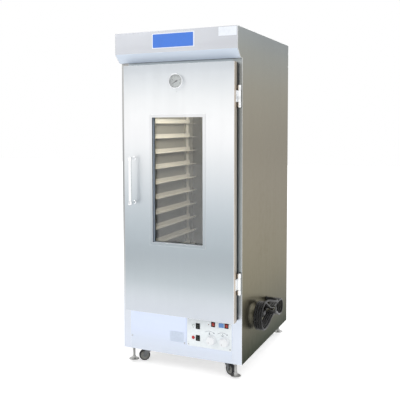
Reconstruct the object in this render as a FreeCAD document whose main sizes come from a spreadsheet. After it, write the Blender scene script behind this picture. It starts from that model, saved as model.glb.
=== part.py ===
import FreeCAD, Part
import math
import os
import re
import Sketcher

# A free-standing dough proofer: an insulated cabinet with a glazed door, tray rails, a heated
# base with rockers and knobs, casters with levelling feet, and its mains cable tied in a hank.
# Millimetres, +Z up, +Y to the back. The origin is on the floor under the middle of the cabinet.

V = FreeCAD.Vector
doc = FreeCAD.newDocument("DoughProofer")

# Driving dimensions. Heights called rise start at the underside of the cabinet, places called
# along start at its front plane, and places called x start at its middle.
SIZES = {
    # cabinet
    "cabinet_width": 560,
    "cabinet_depth": 700,
    "cabinet_height": 1395,
    "ride_height": 71,
    "sheet": 1.5,
    "liner_sheet": 1,
    "left_flange": 35,
    "right_flange": 42,
    "rear_flange": 20,
    "frame_lap": 3,
    "frame_collar": 20,
    "deck_rise": 215,
    # hood
    "hood_reach": 58,
    "hood_face": 89.5,
    "hood_drop": 124.3,
    "hood_tuck": 19.5,
    # chamber
    "chamber_side_gap": 58,
    "chamber_deck_gap": 20,
    "chamber_roof_gap": 45.7,
    "chamber_back_gap": 45,
    # rails and uprights
    "rail_pitch": 70,
    "rail_first_gap": 74.6,
    "rail_last_gap": 55,
    "rail_along": 60,
    "rail_back_gap": 14,
    "rail_leg": 20,
    "rail_shelf": 24.5,
    "rail_sheet": 1.5,
    "rail_tip": 56,
    "rail_tip_width": 8,
    "upright_face": 30,
    "upright_reach": 12,
    "upright_front_along": 95,
    "upright_rear_gap": 110,
    "upright_gap": 12,
    "upright_roof_gap": 18,
    # water pan and heaters
    "pan_side_gap": 72,
    "pan_length": 300,
    "pan_height": 45,
    "pan_along": 160,
    "pan_leg": 17,
    "pan_leg_inset": 10,
    "pan_rim": 10,
    "element_radius": 4,
    "pan_loop_width": 120,
    "pan_loop_along": 200,
    "air_loop_gap": 42,
    "element_rise": 9,
    "element_along": 60,
    "element_plate": 36,
    # door
    "door_left_lap": 1.5,
    "door_right_gap": 17.5,
    "door_rise": 187,
    "door_top_gap": 14.7,
    "door_thickness": 34,
    "door_sheet": 1.2,
    "gasket_depth": 16,
    "gasket_width": 16,
    "gasket_inset": 1,
    "gasket_gap": 0.3,
    "window_side_border": 137,
    "window_low_border": 313,
    "window_top_border": 222,
    "trim_border": 13,
    "trim_proud": 1.5,
    "trim_sheet": 1.2,
    "pane_thickness": 4,
    "pane_lap": 9,
    "spacer_depth": 4.8,
    "spacer_width": 7,
    # handle
    "handle_inset": 50.5,
    "handle_rise": 660,
    "handle_length": 208,
    "handle_radius": 7.5,
    "handle_end_radius": 9.5,
    "handle_flare": 16,
    "handle_post_radius": 6,
    "handle_post_inset": 9,
    "handle_stand": 40,
    # gauge on the door
    "gauge_drop": 72,
    "gauge_radius": 31.75,
    "gauge_depth": 15,
    "gauge_wall": 2.6,
    "gauge_floor": 3,
    "dial_thickness": 0.8,
    "lens_thickness": 1.5,
    "lens_inset": 1,
    "needle_length": 21,
    "needle_tail": 7,
    "needle_half_width": 1.6,
    "needle_hub_radius": 3,
    "needle_gap": 1.2,
    "needle_thickness": 0.8,
    "needle_post_radius": 1,
    "needle_post_proud": 0.8,
    # hinges
    "hinge_height": 93.5,
    "hinge_knuckle": 48,
    "hinge_clearance": 0.5,
    "hinge_ear_radius": 7.5,
    "hinge_knuckle_radius": 7,
    "hinge_pin_radius": 3,
    "hinge_pin_inset": 1,
    "hinge_out": 8,
    "hinge_stand": 10.5,
    "hinge_plate": 3,
    "hinge_leaf_plate": 2.5,
    "hinge_leaf_reach": 25,
    "hinge_leaf_back": 2,
    "hinge_upper_drop": 139,
    "hinge_lower_lift": 157.5,
    "shaft_clearance": 0.05,
    # base front
    "cover_lap": 1,
    "cover_plate_gap": 5,
    "cover_rise": 52,
    "cover_door_gap": 5,
    "cover_hole_border": 16,
    "plate_width": 204,
    "plate_lap": 2,
    "plate_rise": 52,
    "plate_door_gap": 8,
    "plate_corner": 6,
    "plate_hole_border": 11,
    "screw_radius": 4,
    "screw_proud": 2.5,
    "screw_inset": 7,
    "side_screw_inset": 10,
    "side_screw_high": 41,
    "side_screw_low": 106,
    # rockers, lamps and knobs
    "bezel_rim": 2,
    "bezel_proud": 1.5,
    "switch_depth": 20,
    "switch_pocket": 9,
    "switch_inset": 2,
    "switch_wall": 0.4,
    "rocker_clearance": 0.4,
    "rocker_pivot": 3,
    "rocker_face": 4.5,
    "rocker_valley": 1.2,
    "rocker_back": 2.5,
    "rocker_tilt": 10,
    "black_switch_width": 19,
    "black_switch_height": 25,
    "red_switch_width": 18,
    "red_switch_height": 21,
    "light_inset": 50.7,
    "light_drop": 37,
    "power_inset": 50.7,
    "power_lift": 38.3,
    "heat_inset": 83.5,
    "heat_drop": 20.8,
    "humidity_inset": 23,
    "humidity_drop": 20.4,
    "lamp_inset": 29,
    "lamp_radius": 7,
    "lamp_proud": 4,
    "lamp_body_radius": 5,
    "lamp_depth": 18,
    "window_lamp_place": 46.7,
    "window_lamp_drop": 20.7,
    "window_lamp_width": 22.7,
    "window_lamp_height": 18.6,
    "window_lamp_proud": 1.5,
    "window_lamp_inset": 2.5,
    "knob_left_inset": 90,
    "knob_right_inset": 30.5,
    "knob_lift": 39,
    "knob_radius": 21,
    "knob_cap_radius": 19.5,
    "knob_height": 22,
    "knob_skirt": 6,
    "knob_gap": 0.6,
    "knob_dot_radius": 1.6,
    "knob_dot_depth": 0.6,
    "knob_dot_left": 11.2,
    "knob_dot_drop": 8.4,
    "spindle_radius": 3,
    "spindle_engaged": 12,
    "thermostat_radius": 18,
    "thermostat_depth": 24,
    # casters
    "caster_inset": 92,
    "caster_along": 74,
    "caster_plate": 46,
    "caster_plate_thickness": 2.5,
    "caster_race_radius": 17,
    "caster_race_height": 6,
    "caster_gap": 0.5,
    "caster_pin_radius": 4,
    "caster_rivet_radius": 6.5,
    "caster_rivet_height": 2,
    "fork_crown": 3,
    "fork_leg": 2,
    "fork_length": 30,
    "fork_eye": 8,
    "wheel_radius": 25,
    "wheel_width": 18,
    "wheel_side_gap": 1,
    "wheel_hub_radius": 8,
    "axle_radius": 3,
    "axle_head_radius": 5,
    "axle_head": 1.5,
    "caster_trail": 24,
    "front_trail_angle": 33,
    # levelling feet
    "foot_inset": 36,
    "foot_along": 26,
    "foot_lift": 12,
    "foot_radius": 23,
    "foot_rim": 4,
    "foot_collar": 10,
    "foot_collar_radius": 9,
    "foot_stem_radius": 6,
    "foot_stem_over": 34,
    "boss_radius": 12,
    "boss_height": 18.5,
    # mains cable
    "cable_radius": 4.5,
    "gland_along": 343,
    "gland_drop": 15,
    "gland_proud": 20,
    "gland_flange": 4,
    "gland_radius": 11,
    "gland_neck_radius": 8,
    "gland_tip_radius": 5.5,
    "gland_inside": 10,
    "hank_loops": 4,
    "hank_pitch": 9.8,
    "hank_stand": 7,
    "hank_waist_forward": 21,
    "hank_waist_drop": 43,
    "hank_waist_step": 9.8,
    "front_lobe_forward": 169,
    "front_lobe_drop": 31,
    "front_lobe_radius": 59,
    "rear_lobe_back": 105,
    "rear_lobe_drop": 60,
    "rear_lobe_radius": 35,
    "hank_tail_forward": 81,
    "hank_tail_drop": 35,
    "hank_tail_out": 19,
    "tie_width": 14,
    "tie_thickness": 1.5,
    "tie_gap": 0.5,
    "tie_corner": 4,
    "plug_grip_length": 38,
    "plug_grip_radius": 15,
    "plug_neck_radius": 7,
    "plug_taper": 20,
    "plug_pin_length": 18,
    "plug_pin_width": 6.3,
    "plug_pin_thickness": 1.6,
    "plug_pin_spread": 7.9,
    "plug_pin_lift": 4,
    "plug_earth_drop": 5,
}

# Places worked out from the sizes.
PLACES = {
    "half_width": "cabinet_width / 2",
    "door_stand": "gasket_depth + door_thickness",
    "front_y": "0 - (cabinet_depth + screw_proud - door_stand - handle_stand - handle_radius) / 2",
    "rear_y": "front_y + cabinet_depth",
    "base_z": "ride_height",
    "top_z": "base_z + cabinet_height",
    "deck_z": "base_z + deck_rise",
    "inner_x": "half_width - sheet",
    "frame_left": "left_flange - half_width",
    "frame_right": "half_width - right_flange",
    "hood_y": "front_y - hood_reach",
    "hood_face_z": "top_z - hood_face",
    "hood_tuck_y": "front_y - hood_tuck",
    "hood_low_z": "top_z - hood_drop",
    "hood_slant": "sqrt((hood_reach - hood_tuck) ^ 2 + (hood_drop - hood_face) ^ 2)",
    "hood_bend_up": "sheet * (hood_slant - (hood_drop - hood_face)) / (hood_reach - hood_tuck)",
    "hood_bend_back": "sheet * (hood_slant - (hood_reach - hood_tuck)) / (hood_drop - hood_face)",
    "chamber_x": "half_width - chamber_side_gap",
    "chamber_z": "deck_z + chamber_deck_gap",
    "chamber_top": "hood_low_z - chamber_roof_gap",
    "chamber_back": "rear_y - chamber_back_gap",
    "liner_y": "front_y + sheet + frame_collar",
    "rail_y": "front_y + rail_along",
    "rail_back": "chamber_back - rail_back_gap",
    "rail_x": "chamber_x - upright_reach",
    "rail_low_z": "chamber_z + rail_first_gap",
    "rail_steps": "floor((chamber_top - rail_low_z - rail_last_gap) / rail_pitch)",
    "upright_front_y": "front_y + upright_front_along",
    "upright_rear_y": "chamber_back - upright_rear_gap",
    "pan_left": "pan_side_gap - chamber_x",
    "pan_right": "chamber_x - pan_side_gap",
    "pan_y": "front_y + pan_along",
    "air_loop_width": "2 * (chamber_x - air_loop_gap)",
    "door_left": "frame_left + door_left_lap",
    "door_right": "half_width - door_right_gap",
    "door_middle": "(door_left + door_right) / 2",
    "door_low": "base_z + door_rise",
    "door_high": "hood_low_z - door_top_gap",
    "frame_z": "door_low + frame_lap",
    "door_back": "front_y - gasket_depth",
    "door_face": "door_back - door_thickness",
    "window_left": "door_left + window_side_border",
    "window_right": "door_right - window_side_border",
    "window_low": "door_low + window_low_border",
    "window_high": "door_high - window_top_border",
    "pane_back": "door_back - door_sheet",
    "spacer_back": "pane_back - pane_thickness",
    "spacer_front": "spacer_back - spacer_depth",
    "pane_front": "spacer_front - pane_thickness",
    "handle_x": "door_left + handle_inset",
    "handle_y": "door_face - handle_stand",
    "handle_z": "base_z + handle_rise",
    "gauge_z": "door_high - gauge_drop",
    "gauge_front": "door_face - gauge_depth",
    "dial_y": "door_face - gauge_floor - dial_thickness",
    "needle_y": "dial_y - needle_gap",
    "lens_y": "gauge_front + lens_inset",
    "hinge_x": "door_right + hinge_out",
    "hinge_y": "front_y - hinge_stand",
    "plate_face": "front_y - sheet",
    "hinge_upper_z": "door_high - hinge_upper_drop",
    "hinge_lower_z": "door_low + hinge_lower_lift",
    "plate_right": "frame_right - plate_lap",
    "plate_left": "plate_right - plate_width",
    "plate_z": "base_z + plate_rise",
    "plate_high": "door_low - plate_door_gap",
    "cover_left": "frame_left + cover_lap",
    "cover_right": "plate_left - cover_plate_gap",
    "cover_z": "base_z + cover_rise",
    "cover_high": "door_low - cover_door_gap",
    "light_x": "plate_left + light_inset",
    "light_z": "plate_high - light_drop",
    "power_x": "plate_left + power_inset",
    "power_z": "plate_z + power_lift",
    "heat_x": "plate_right - heat_inset",
    "heat_z": "plate_high - heat_drop",
    "humidity_x": "plate_right - humidity_inset",
    "humidity_z": "plate_high - humidity_drop",
    "lamp_x": "plate_left + lamp_inset",
    "window_lamp_x": "plate_right - window_lamp_place",
    "window_lamp_z": "plate_high - window_lamp_drop",
    "knob_left_x": "plate_right - knob_left_inset",
    "knob_right_x": "plate_right - knob_right_inset",
    "knob_z": "plate_z + knob_lift",
    "caster_x": "half_width - caster_inset",
    "foot_x": "half_width - foot_inset",
    "foot_stem_top": "base_z + foot_stem_over",
    "fork_top": "base_z - caster_plate_thickness - caster_race_height - caster_gap",
    "fork_inside": "wheel_width / 2 + wheel_side_gap",
    "gland_y": "front_y + gland_along",
    "gland_z": "deck_z - gland_drop",
    "waist_y": "gland_y - hank_waist_forward",
    "waist_z": "gland_z - hank_waist_drop",
    "hank_inner_x": "half_width + hank_stand",
    "hank_outer_x": "hank_inner_x + hank_loops * hank_pitch",
    "plug_y": "gland_y - hank_tail_forward - 2 * cable_radius",
    "plug_z": "gland_z - hank_tail_drop",
    "plug_x": "half_width + hank_tail_out",
}


def bound(text):
    """The expression with each name pointing at the sheet that holds it."""
    def place(found):
        word = found.group(0)
        if word in SIZES:
            return "Sizes." + word
        return "Places." + word if word in PLACES else word
    return re.sub(r"[a-z][a-z_]+", place, str(text))


def fill_sheet(name, rows):
    """A spreadsheet with one named value per row."""
    sheet = doc.addObject("Spreadsheet::Sheet", name)
    for row, (alias, value) in enumerate(rows.items(), 1):
        sheet.set(f"A{row}", alias)
        sheet.set(f"B{row}", value)
        sheet.setAlias(f"B{row}", alias)
    doc.recompute()
    return sheet


sizes = fill_sheet("Sizes", {alias: str(value) for alias, value in SIZES.items()})
places = fill_sheet("Places", {alias: "=" + bound(text) for alias, text in PLACES.items()})


def size(name):
    """The number that a sheet holds under this name."""
    return float(sizes.get(name) if name in SIZES else places.get(name))


def seat(piece, spot):
    """Binds a piece's place to three expressions."""
    for axis, text in zip("xyz", spot):
        piece.setExpression(f"Placement.Base.{axis}", bound(text))
    return piece


TURNS = {
    "Z": FreeCAD.Rotation(),
    "X": FreeCAD.Rotation(V(0, 1, 0), 90),
    "Y": FreeCAD.Rotation(V(1, 0, 0), -90),
    "-Y": FreeCAD.Rotation(V(1, 0, 0), 90),
    "-Z": FreeCAD.Rotation(V(1, 0, 0), 180),
}


def block(name, x, y, z):
    """A box between two planes on each axis."""
    piece = doc.addObject("Part::Box", name)
    for side, (low, high) in zip(("Length", "Width", "Height"), (x, y, z)):
        piece.setExpression(side, bound(f"({high}) - ({low})"))
    return seat(piece, [low for low, high in (x, y, z)])


def rod(name, axis, radius, length, spot):
    """A cylinder that starts at a spot and runs along an axis."""
    piece = doc.addObject("Part::Cylinder", name)
    piece.setExpression("Radius", bound(radius))
    piece.setExpression("Height", bound(length))
    piece.Placement = FreeCAD.Placement(V(), TURNS[axis])
    return seat(piece, spot)


def prism(name, axis, sides, radius, length, spot):
    """A bar with flat sides that starts at a spot and runs along an axis."""
    piece = doc.addObject("Part::Prism", name)
    piece.Polygon = sides
    piece.setExpression("Circumradius", bound(radius))
    piece.setExpression("Height", bound(length))
    piece.Placement = FreeCAD.Placement(V(), TURNS[axis])
    return seat(piece, spot)


def fused(name, pieces):
    """One solid made of several."""
    piece = doc.addObject("Part::MultiFuse", name)
    piece.Shapes = pieces
    return piece


def group(name, pieces):
    """Separate solids that share a node."""
    piece = doc.addObject("Part::Compound", name)
    piece.Links = pieces
    return piece


def cut(name, base, tools):
    """A piece with holes or hollows."""
    piece = doc.addObject("Part::Cut", name)
    piece.Base = base
    piece.Tool = tools[0] if len(tools) == 1 else group(name + "_holes", tools)
    return piece


def mirrored(name, source, normal):
    """A piece seen in a mirror through the origin."""
    piece = doc.addObject("Part::Mirroring", name)
    piece.Source = source
    piece.Normal = normal
    return piece


def sketch(piece, plane, points, offset):
    """A closed outline on one of the body's origin planes, each corner bound to two expressions."""
    flat = piece.newObject("Sketcher::SketchObject", f"{piece.Name}_outline")
    origin = [item for item in piece.Origin.OriginFeatures if item.Role == plane + "_Plane"][0]
    flat.AttachmentSupport = (origin, [""])
    flat.MapMode = "FlatFace"
    flat.setExpression("AttachmentOffset.Base.z", bound(offset))
    count = len(points)
    angle = 2 * math.pi / count
    rough = [V(math.cos(angle * i), math.sin(angle * i), 0) for i in range(count)]
    for number in range(count):
        flat.addGeometry(Part.LineSegment(rough[number], rough[(number + 1) % count]), False)
    for number in range(count):
        flat.addConstraint(Sketcher.Constraint("Coincident", number, 2, (number + 1) % count, 1))
    for number, point in enumerate(points):
        for kind, text in zip(("DistanceX", "DistanceY"), point):
            row = flat.addConstraint(Sketcher.Constraint(kind, -1, 1, number, 1, 1.0))
            flat.setExpression(f"Constraints[{row}]", bound(text))
    return flat


def body(name):
    """An empty PartDesign body."""
    return doc.addObject("PartDesign::Body", name)


def pad(piece, plane, points, low, high):
    """Adds an outline drawn out between two planes."""
    offset = {"XY": low, "YZ": low, "XZ": f"0 - ({high})"}[plane]
    flat = sketch(piece, plane, points, offset)
    feature = piece.newObject("PartDesign::Pad", f"{piece.Name}_pad")
    feature.Profile = flat
    feature.setExpression("Length", bound(f"({high}) - ({low})"))
    return feature


def corners(low, high):
    """The four corners of a rectangle."""
    return [(low[0], low[1]), (high[0], low[1]), (high[0], high[1]), (low[0], high[1])]


def turned(name, axis, points, spot):
    """A piece turned on a lathe: (radius, height) corners about an axis through a spot."""
    piece = body(name)
    flat = sketch(piece, "XZ", points, "0")
    feature = piece.newObject("PartDesign::Revolution", f"{name}_turn")
    feature.Profile = flat
    feature.ReferenceAxis = (flat, ["V_Axis"])
    feature.Angle = 360
    piece.Placement = FreeCAD.Placement(V(), TURNS[axis])
    return seat(piece, spot)


def rounded(piece, radius, chosen):
    """Rounds the chosen edges of a body's last feature."""
    doc.recompute()
    last = piece.Tip
    edges = [f"Edge{number}" for number, edge in enumerate(last.Shape.Edges, 1) if chosen(edge)]
    feature = piece.newObject("PartDesign::Fillet", f"{piece.Name}_round")
    feature.Base = (last, edges)
    feature.setExpression("Radius", bound(radius))
    return piece


def along(direction):
    """Tests whether an edge is straight and runs along a direction."""
    def test(edge):
        ends = [vertex.Point for vertex in edge.Vertexes]
        if len(ends) < 2:
            return False
        run = ends[1] - ends[0]
        return run.Length > 1e-6 and abs(abs(run.dot(direction)) - run.Length) < 1e-6
    return test


nodes = {}


def keep(piece):
    """Marks a piece as one of the part's nodes."""
    nodes[piece.Name] = piece
    return piece


def side_panel(name, flange):
    """Right-hand side sheet: the hood's outline, the front flange beside the door, the rear flange."""
    piece = body(name)
    outline = [
        ("front_y", "base_z"), ("rear_y", "base_z"), ("rear_y", "top_z"), ("hood_y", "top_z"),
        ("hood_y", "hood_face_z"), ("hood_tuck_y", "hood_low_z"), ("front_y", "hood_low_z"),
    ]
    pad(piece, "YZ", outline, "inner_x", "half_width")
    front = corners((f"half_width - {flange}", "front_y"), ("inner_x", "front_y + sheet"))
    pad(piece, "XY", front, "base_z", "hood_low_z")
    rear = corners(("half_width - rear_flange", "rear_y - 2 * sheet"), ("inner_x", "rear_y - sheet"))
    pad(piece, "XY", rear, "base_z", "top_z - sheet")
    return piece


def gland_hole(name):
    """The round hole that the cable gland passes through."""
    spot = ("half_width - 3 * sheet", "gland_y", "gland_z")
    return rod(name, "X", "gland_neck_radius", "4 * sheet", spot)


def cabinet_sheets():
    """Outer skin: sides, top, back, hood fascia and the frame round the door opening."""
    keep(cut("right_side_panel", side_panel("right_sheet", "right_flange"), [gland_hole("gland_hole")]))
    keep(mirrored("left_side_panel", side_panel("left_sheet", "left_flange"), V(1, 0, 0)))
    keep(block("top_panel", ("0 - inner_x", "inner_x"), ("hood_y + sheet", "rear_y - sheet"),
               ("top_z - sheet", "top_z")))
    keep(block("back_panel", ("0 - inner_x", "inner_x"), ("rear_y - sheet", "rear_y"), ("base_z", "top_z")))
    fascia = keep(body("hood_front"))
    outline = [
        ("hood_y", "top_z"), ("hood_y", "hood_face_z"), ("hood_tuck_y", "hood_low_z"),
        ("front_y", "hood_low_z"), ("front_y", "hood_low_z + sheet"),
        ("hood_tuck_y + hood_bend_back", "hood_low_z + sheet"),
        ("hood_y + sheet", "hood_face_z + hood_bend_up"), ("hood_y + sheet", "top_z"),
    ]
    pad(fascia, "YZ", outline, "0 - inner_x", "inner_x")


def chamber():
    """Frame of the door opening, the liner behind it and the insulation round the liner."""
    sides = ("0 - chamber_x", "chamber_x")
    wide = ("0 - chamber_x - liner_sheet", "chamber_x + liner_sheet")
    heights = ("chamber_z", "chamber_top")
    tall = ("chamber_z - liner_sheet", "chamber_top + liner_sheet")
    ring = block("frame_plate", ("frame_left", "frame_right"), ("front_y", "front_y + sheet"),
                 ("frame_z", "hood_low_z"))
    collar = block("frame_reveal", wide, ("front_y", "liner_y"), tall)
    opening = block("frame_opening", sides, ("front_y - sheet", "liner_y + sheet"), heights)
    keep(cut("front_frame", fused("frame_solid", [ring, collar]), [opening]))
    shell = block("liner_outside", wide, ("liner_y", "chamber_back + liner_sheet"), tall)
    hollow = block("liner_inside", sides, ("liner_y - sheet", "chamber_back"), heights)
    keep(cut("chamber_liner", shell, [hollow]))
    wool = block("wool_outside", ("0 - inner_x", "inner_x"), ("front_y + sheet", "rear_y - 2 * sheet"),
                 ("deck_z", "hood_low_z"))
    void = block("wool_inside", wide, ("front_y", "chamber_back + liner_sheet"), tall)
    keep(cut("insulation", wool, [void]))


def foot_spots():
    """The four feet and casters: name, side and end of the cabinet."""
    for end in ("front", "rear"):
        for side, sign in (("left", -1), ("right", 1)):
            yield f"{end}_{side}", sign, end


def spot_y(end, inset):
    """A place this far in from the front or the rear of the cabinet."""
    return f"front_y + {inset}" if end == "front" else f"rear_y - {inset}"


def base():
    """Chassis under the chamber with its bosses, the base front, the cover and the control plate."""
    depth = ("front_y + sheet", "rear_y - 2 * sheet")
    solid = [
        block("chassis_floor", ("0 - inner_x", "inner_x"), depth, ("base_z", "base_z + sheet")),
        block("chassis_deck", ("0 - inner_x", "inner_x"), depth, ("deck_z - sheet", "deck_z")),
        block("chassis_left", ("0 - inner_x", "sheet - inner_x"), depth, ("base_z", "deck_z")),
        block("chassis_right", ("inner_x - sheet", "inner_x"), depth, ("base_z", "deck_z")),
    ]
    holes = [gland_hole("chassis_gland_hole")]
    for name, sign, end in foot_spots():
        spot = (f"{sign} * foot_x", spot_y(end, "foot_along"), "base_z")
        solid.append(prism(f"{name}_boss", "Z", 6, "boss_radius", "boss_height + sheet", spot))
        low = (spot[0], spot[1], "base_z - sheet")
        holes.append(rod(f"{name}_thread", "Z", "foot_stem_radius + shaft_clearance",
                         "boss_height + 3 * sheet", low))
    keep(cut("base_chassis", fused("chassis_solid", solid), holes))
    front = block("base_front_sheet", ("frame_left", "frame_right"), ("front_y", "front_y + sheet"),
                  ("base_z", "frame_z"))
    cover_hole = block("cover_hole", ("cover_left + cover_hole_border", "cover_right - cover_hole_border"),
                       ("front_y - sheet", "front_y + 2 * sheet"),
                       ("cover_z + cover_hole_border", "cover_high - cover_hole_border"))
    plate_hole = block("plate_hole", ("plate_left + plate_hole_border", "plate_right - plate_hole_border"),
                       ("front_y - sheet", "front_y + 2 * sheet"),
                       ("plate_z + plate_hole_border", "plate_high - plate_hole_border / 2"))
    keep(cut("base_front_panel", front, [cover_hole, plate_hole]))
    keep(block("access_cover", ("cover_left", "cover_right"), ("plate_face", "front_y"),
               ("cover_z", "cover_high")))
    sheet_metal = body("plate_sheet")
    pad(sheet_metal, "XZ", corners(("plate_left", "plate_z"), ("plate_right", "plate_high")),
        "plate_face", "front_y")
    rounded(sheet_metal, "plate_corner", along(V(0, 1, 0)))
    holes = [switch_hole(name, *switch) for name, switch in SWITCHES.items()]
    holes.append(lamp_hole())
    holes.append(window_lamp_hole())
    holes += [knob_hole(name, x) for name, x in KNOBS.items()]
    keep(cut("control_plate", sheet_metal, holes))


SWITCHES = {
    "light": ("light_x", "light_z", "black_switch_width", "black_switch_height"),
    "power": ("power_x", "power_z", "black_switch_width", "black_switch_height"),
    "heat": ("heat_x", "heat_z", "red_switch_width", "red_switch_height"),
    "humidity": ("humidity_x", "humidity_z", "red_switch_width", "red_switch_height"),
}
KNOBS = {"temperature": "knob_left_x", "humidity": "knob_right_x"}


def centred(name, x, y, z, width, height):
    """A box centred on a spot of the control plate."""
    return block(name, (f"{x} - ({width}) / 2", f"{x} + ({width}) / 2"), y,
                 (f"{z} - ({height}) / 2", f"{z} + ({height}) / 2"))


def through_plate():
    """From in front of the control plate to behind it."""
    return ("plate_face - sheet", "front_y + sheet / 2")


def switch_hole(name, x, z, width, height):
    """The cut-out that a switch snaps into."""
    return centred(f"{name}_hole", x, through_plate(), z,
                   f"{width} - 2 * switch_inset", f"{height} - 2 * switch_inset")


def lamp_hole():
    """The hole of the round lamp."""
    spot = ("lamp_x", "plate_face - sheet", "power_z")
    return prism("lamp_hole", "Y", 8, "lamp_body_radius", "3 * sheet", spot)


def window_lamp_hole():
    """The cut-out of the square lamp."""
    return centred("window_lamp_hole", "window_lamp_x", through_plate(), "window_lamp_z",
                   "window_lamp_width - 2 * window_lamp_inset",
                   "window_lamp_height - 2 * window_lamp_inset")


def knob_hole(name, x):
    """The hole that a knob's spindle passes through."""
    spot = (x, "plate_face - sheet", "knob_z")
    return prism(f"{name}_spindle_hole", "Y", 8, "spindle_radius + 1", "3 * sheet", spot)


def switches():
    """Snap-in switch frames and the rockers that tip in them."""
    frames = []
    wall = "2 * (bezel_rim + switch_wall)"
    for name, (x, z, width, height) in SWITCHES.items():
        bezel = centred(f"{name}_bezel", x, ("plate_face - bezel_proud", "plate_face"), z, width, height)
        box = centred(f"{name}_switch_box", x, ("plate_face", "plate_face + switch_depth"), z,
                      f"{width} - 2 * switch_inset", f"{height} - 2 * switch_inset")
        deep = ("plate_face - 2 * bezel_proud", "plate_face + switch_pocket")
        pocket = centred(f"{name}_pocket", x, deep, z, f"{width} - {wall}", f"{height} - {wall}")
        frames.append(cut(f"{name}_frame", fused(f"{name}_frame_solid", [bezel, box]), [pocket]))
        keep(rocker(f"{name}_rocker", x, z, width, height))
    keep(group("rocker_frames", frames))


def rocker(name, x, z, width, height):
    """A rocker: ends that are arcs about the pivot, and a face with a shallow valley."""
    half = f"({width} / 2 - bezel_rim - switch_wall - rocker_clearance)"
    reach = f"({height} / 2 - bezel_rim - switch_wall - rocker_clearance)"
    barrel = rod(f"{name}_barrel", "X", reach, f"2 * {half}", (f"0 - {half}", "0", "0"))
    face = body(f"{name}_face")
    outline = [
        ("0 - rocker_face", f"0 - {reach}"), ("rocker_back", f"0 - {reach}"), ("rocker_back", reach),
        ("0 - rocker_face", reach), ("rocker_valley - rocker_face", "0"),
    ]
    pad(face, "YZ", outline, f"0 - {half}", half)
    piece = doc.addObject("Part::Common", name)
    piece.Base = barrel
    piece.Tool = face
    piece.Placement = FreeCAD.Placement(V(), FreeCAD.Rotation(V(1, 0, 0), size("rocker_tilt")))
    return seat(piece, (x, "plate_face + rocker_pivot", z))


def lamps():
    """Round red lamp and square blue lamp, each with its body behind the plate."""
    spot = ("lamp_x", "plate_face", "power_z")
    dome = rod("lamp_dome", "-Y", "lamp_radius", "lamp_proud", spot)
    stem = prism("lamp_stem", "Y", 8, "lamp_body_radius", "lamp_depth", spot)
    round_lamp = fused("round_lamp", [dome, stem])
    window = centred("window_lamp_front", "window_lamp_x", ("plate_face - window_lamp_proud", "plate_face"),
                     "window_lamp_z", "window_lamp_width", "window_lamp_height")
    back = centred("window_lamp_body", "window_lamp_x", ("plate_face", "plate_face + lamp_depth"),
                   "window_lamp_z", "window_lamp_width - 2 * window_lamp_inset",
                   "window_lamp_height - 2 * window_lamp_inset")
    keep(group("indicator_lamps", [round_lamp, fused("window_lamp", [window, back])]))


def knobs():
    """Thermostats behind the plate, and the knobs whose spindles turn in them."""
    bodies = []
    for name, x in KNOBS.items():
        case = prism(f"{name}_case", "Y", 8, "thermostat_radius", "thermostat_depth",
                     (x, "front_y", "knob_z"))
        bore = rod(f"{name}_bore", "Y", "spindle_radius + shaft_clearance", "2 * spindle_engaged",
                   (x, "front_y - spindle_engaged", "knob_z"))
        bodies.append(cut(f"{name}_thermostat", case, [bore]))
        tip = "1 - knob_gap - sheet - spindle_engaged"
        outline = [
            ("0", tip), ("spindle_radius", tip), ("spindle_radius", "0"),
            ("knob_radius", "0"), ("knob_radius", "knob_skirt"), ("knob_cap_radius", "knob_skirt"),
            ("knob_cap_radius", "knob_height"), ("0", "knob_height"),
        ]
        plain = turned(f"{name}_knob_blank", "-Y", outline, (x, "plate_face - knob_gap", "knob_z"))
        dot = prism(f"{name}_dot", "-Y", 6, "knob_dot_radius", "2 * knob_dot_depth",
                    (f"{x} - knob_dot_left", "plate_face - knob_gap - knob_height + knob_dot_depth",
                     "knob_z - knob_dot_drop"))
        keep(cut(f"{name}_knob", plain, [dot]))
    keep(group("thermostats", bodies))


def screw(name, axis, spot):
    """A screw head seen from outside."""
    return prism(name, axis, 8, "screw_radius", "screw_proud", spot)


def screws():
    """Screw heads of the cover, the control plate, the side panels and the back."""
    heads = []
    for panel, left, right, low, high, y in (
            ("cover", "cover_left", "cover_right", "cover_z", "cover_high", "plate_face"),
            ("plate", "plate_left", "plate_right", "plate_z", "plate_high", "plate_face")):
        for i, x in enumerate((f"{left} + screw_inset", f"{right} - screw_inset")):
            for j, z in enumerate((f"{low} + screw_inset", f"{high} - screw_inset")):
                heads.append(screw(f"{panel}_screw_{i}{j}", "-Y", (x, y, z)))
    for number, drop in enumerate(("side_screw_high", "side_screw_low")):
        place = ("half_width", "rear_y - side_screw_inset", f"top_z - {drop}")
        right = screw(f"side_screw_{number}", "X", place)
        heads += [right, mirrored(f"left_side_screw_{number}", right, V(1, 0, 0))]
    for sign in (-1, 1):
        for number in range(4):
            z = f"base_z + 4 * side_screw_inset + (cabinet_height - 8 * side_screw_inset) * {number} / 3"
            heads.append(screw(f"back_screw_{sign + 1}{number}", "Y",
                               (f"{sign} * (inner_x - side_screw_inset)", "rear_y", z)))
    keep(group("panel_screws", heads))


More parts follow.
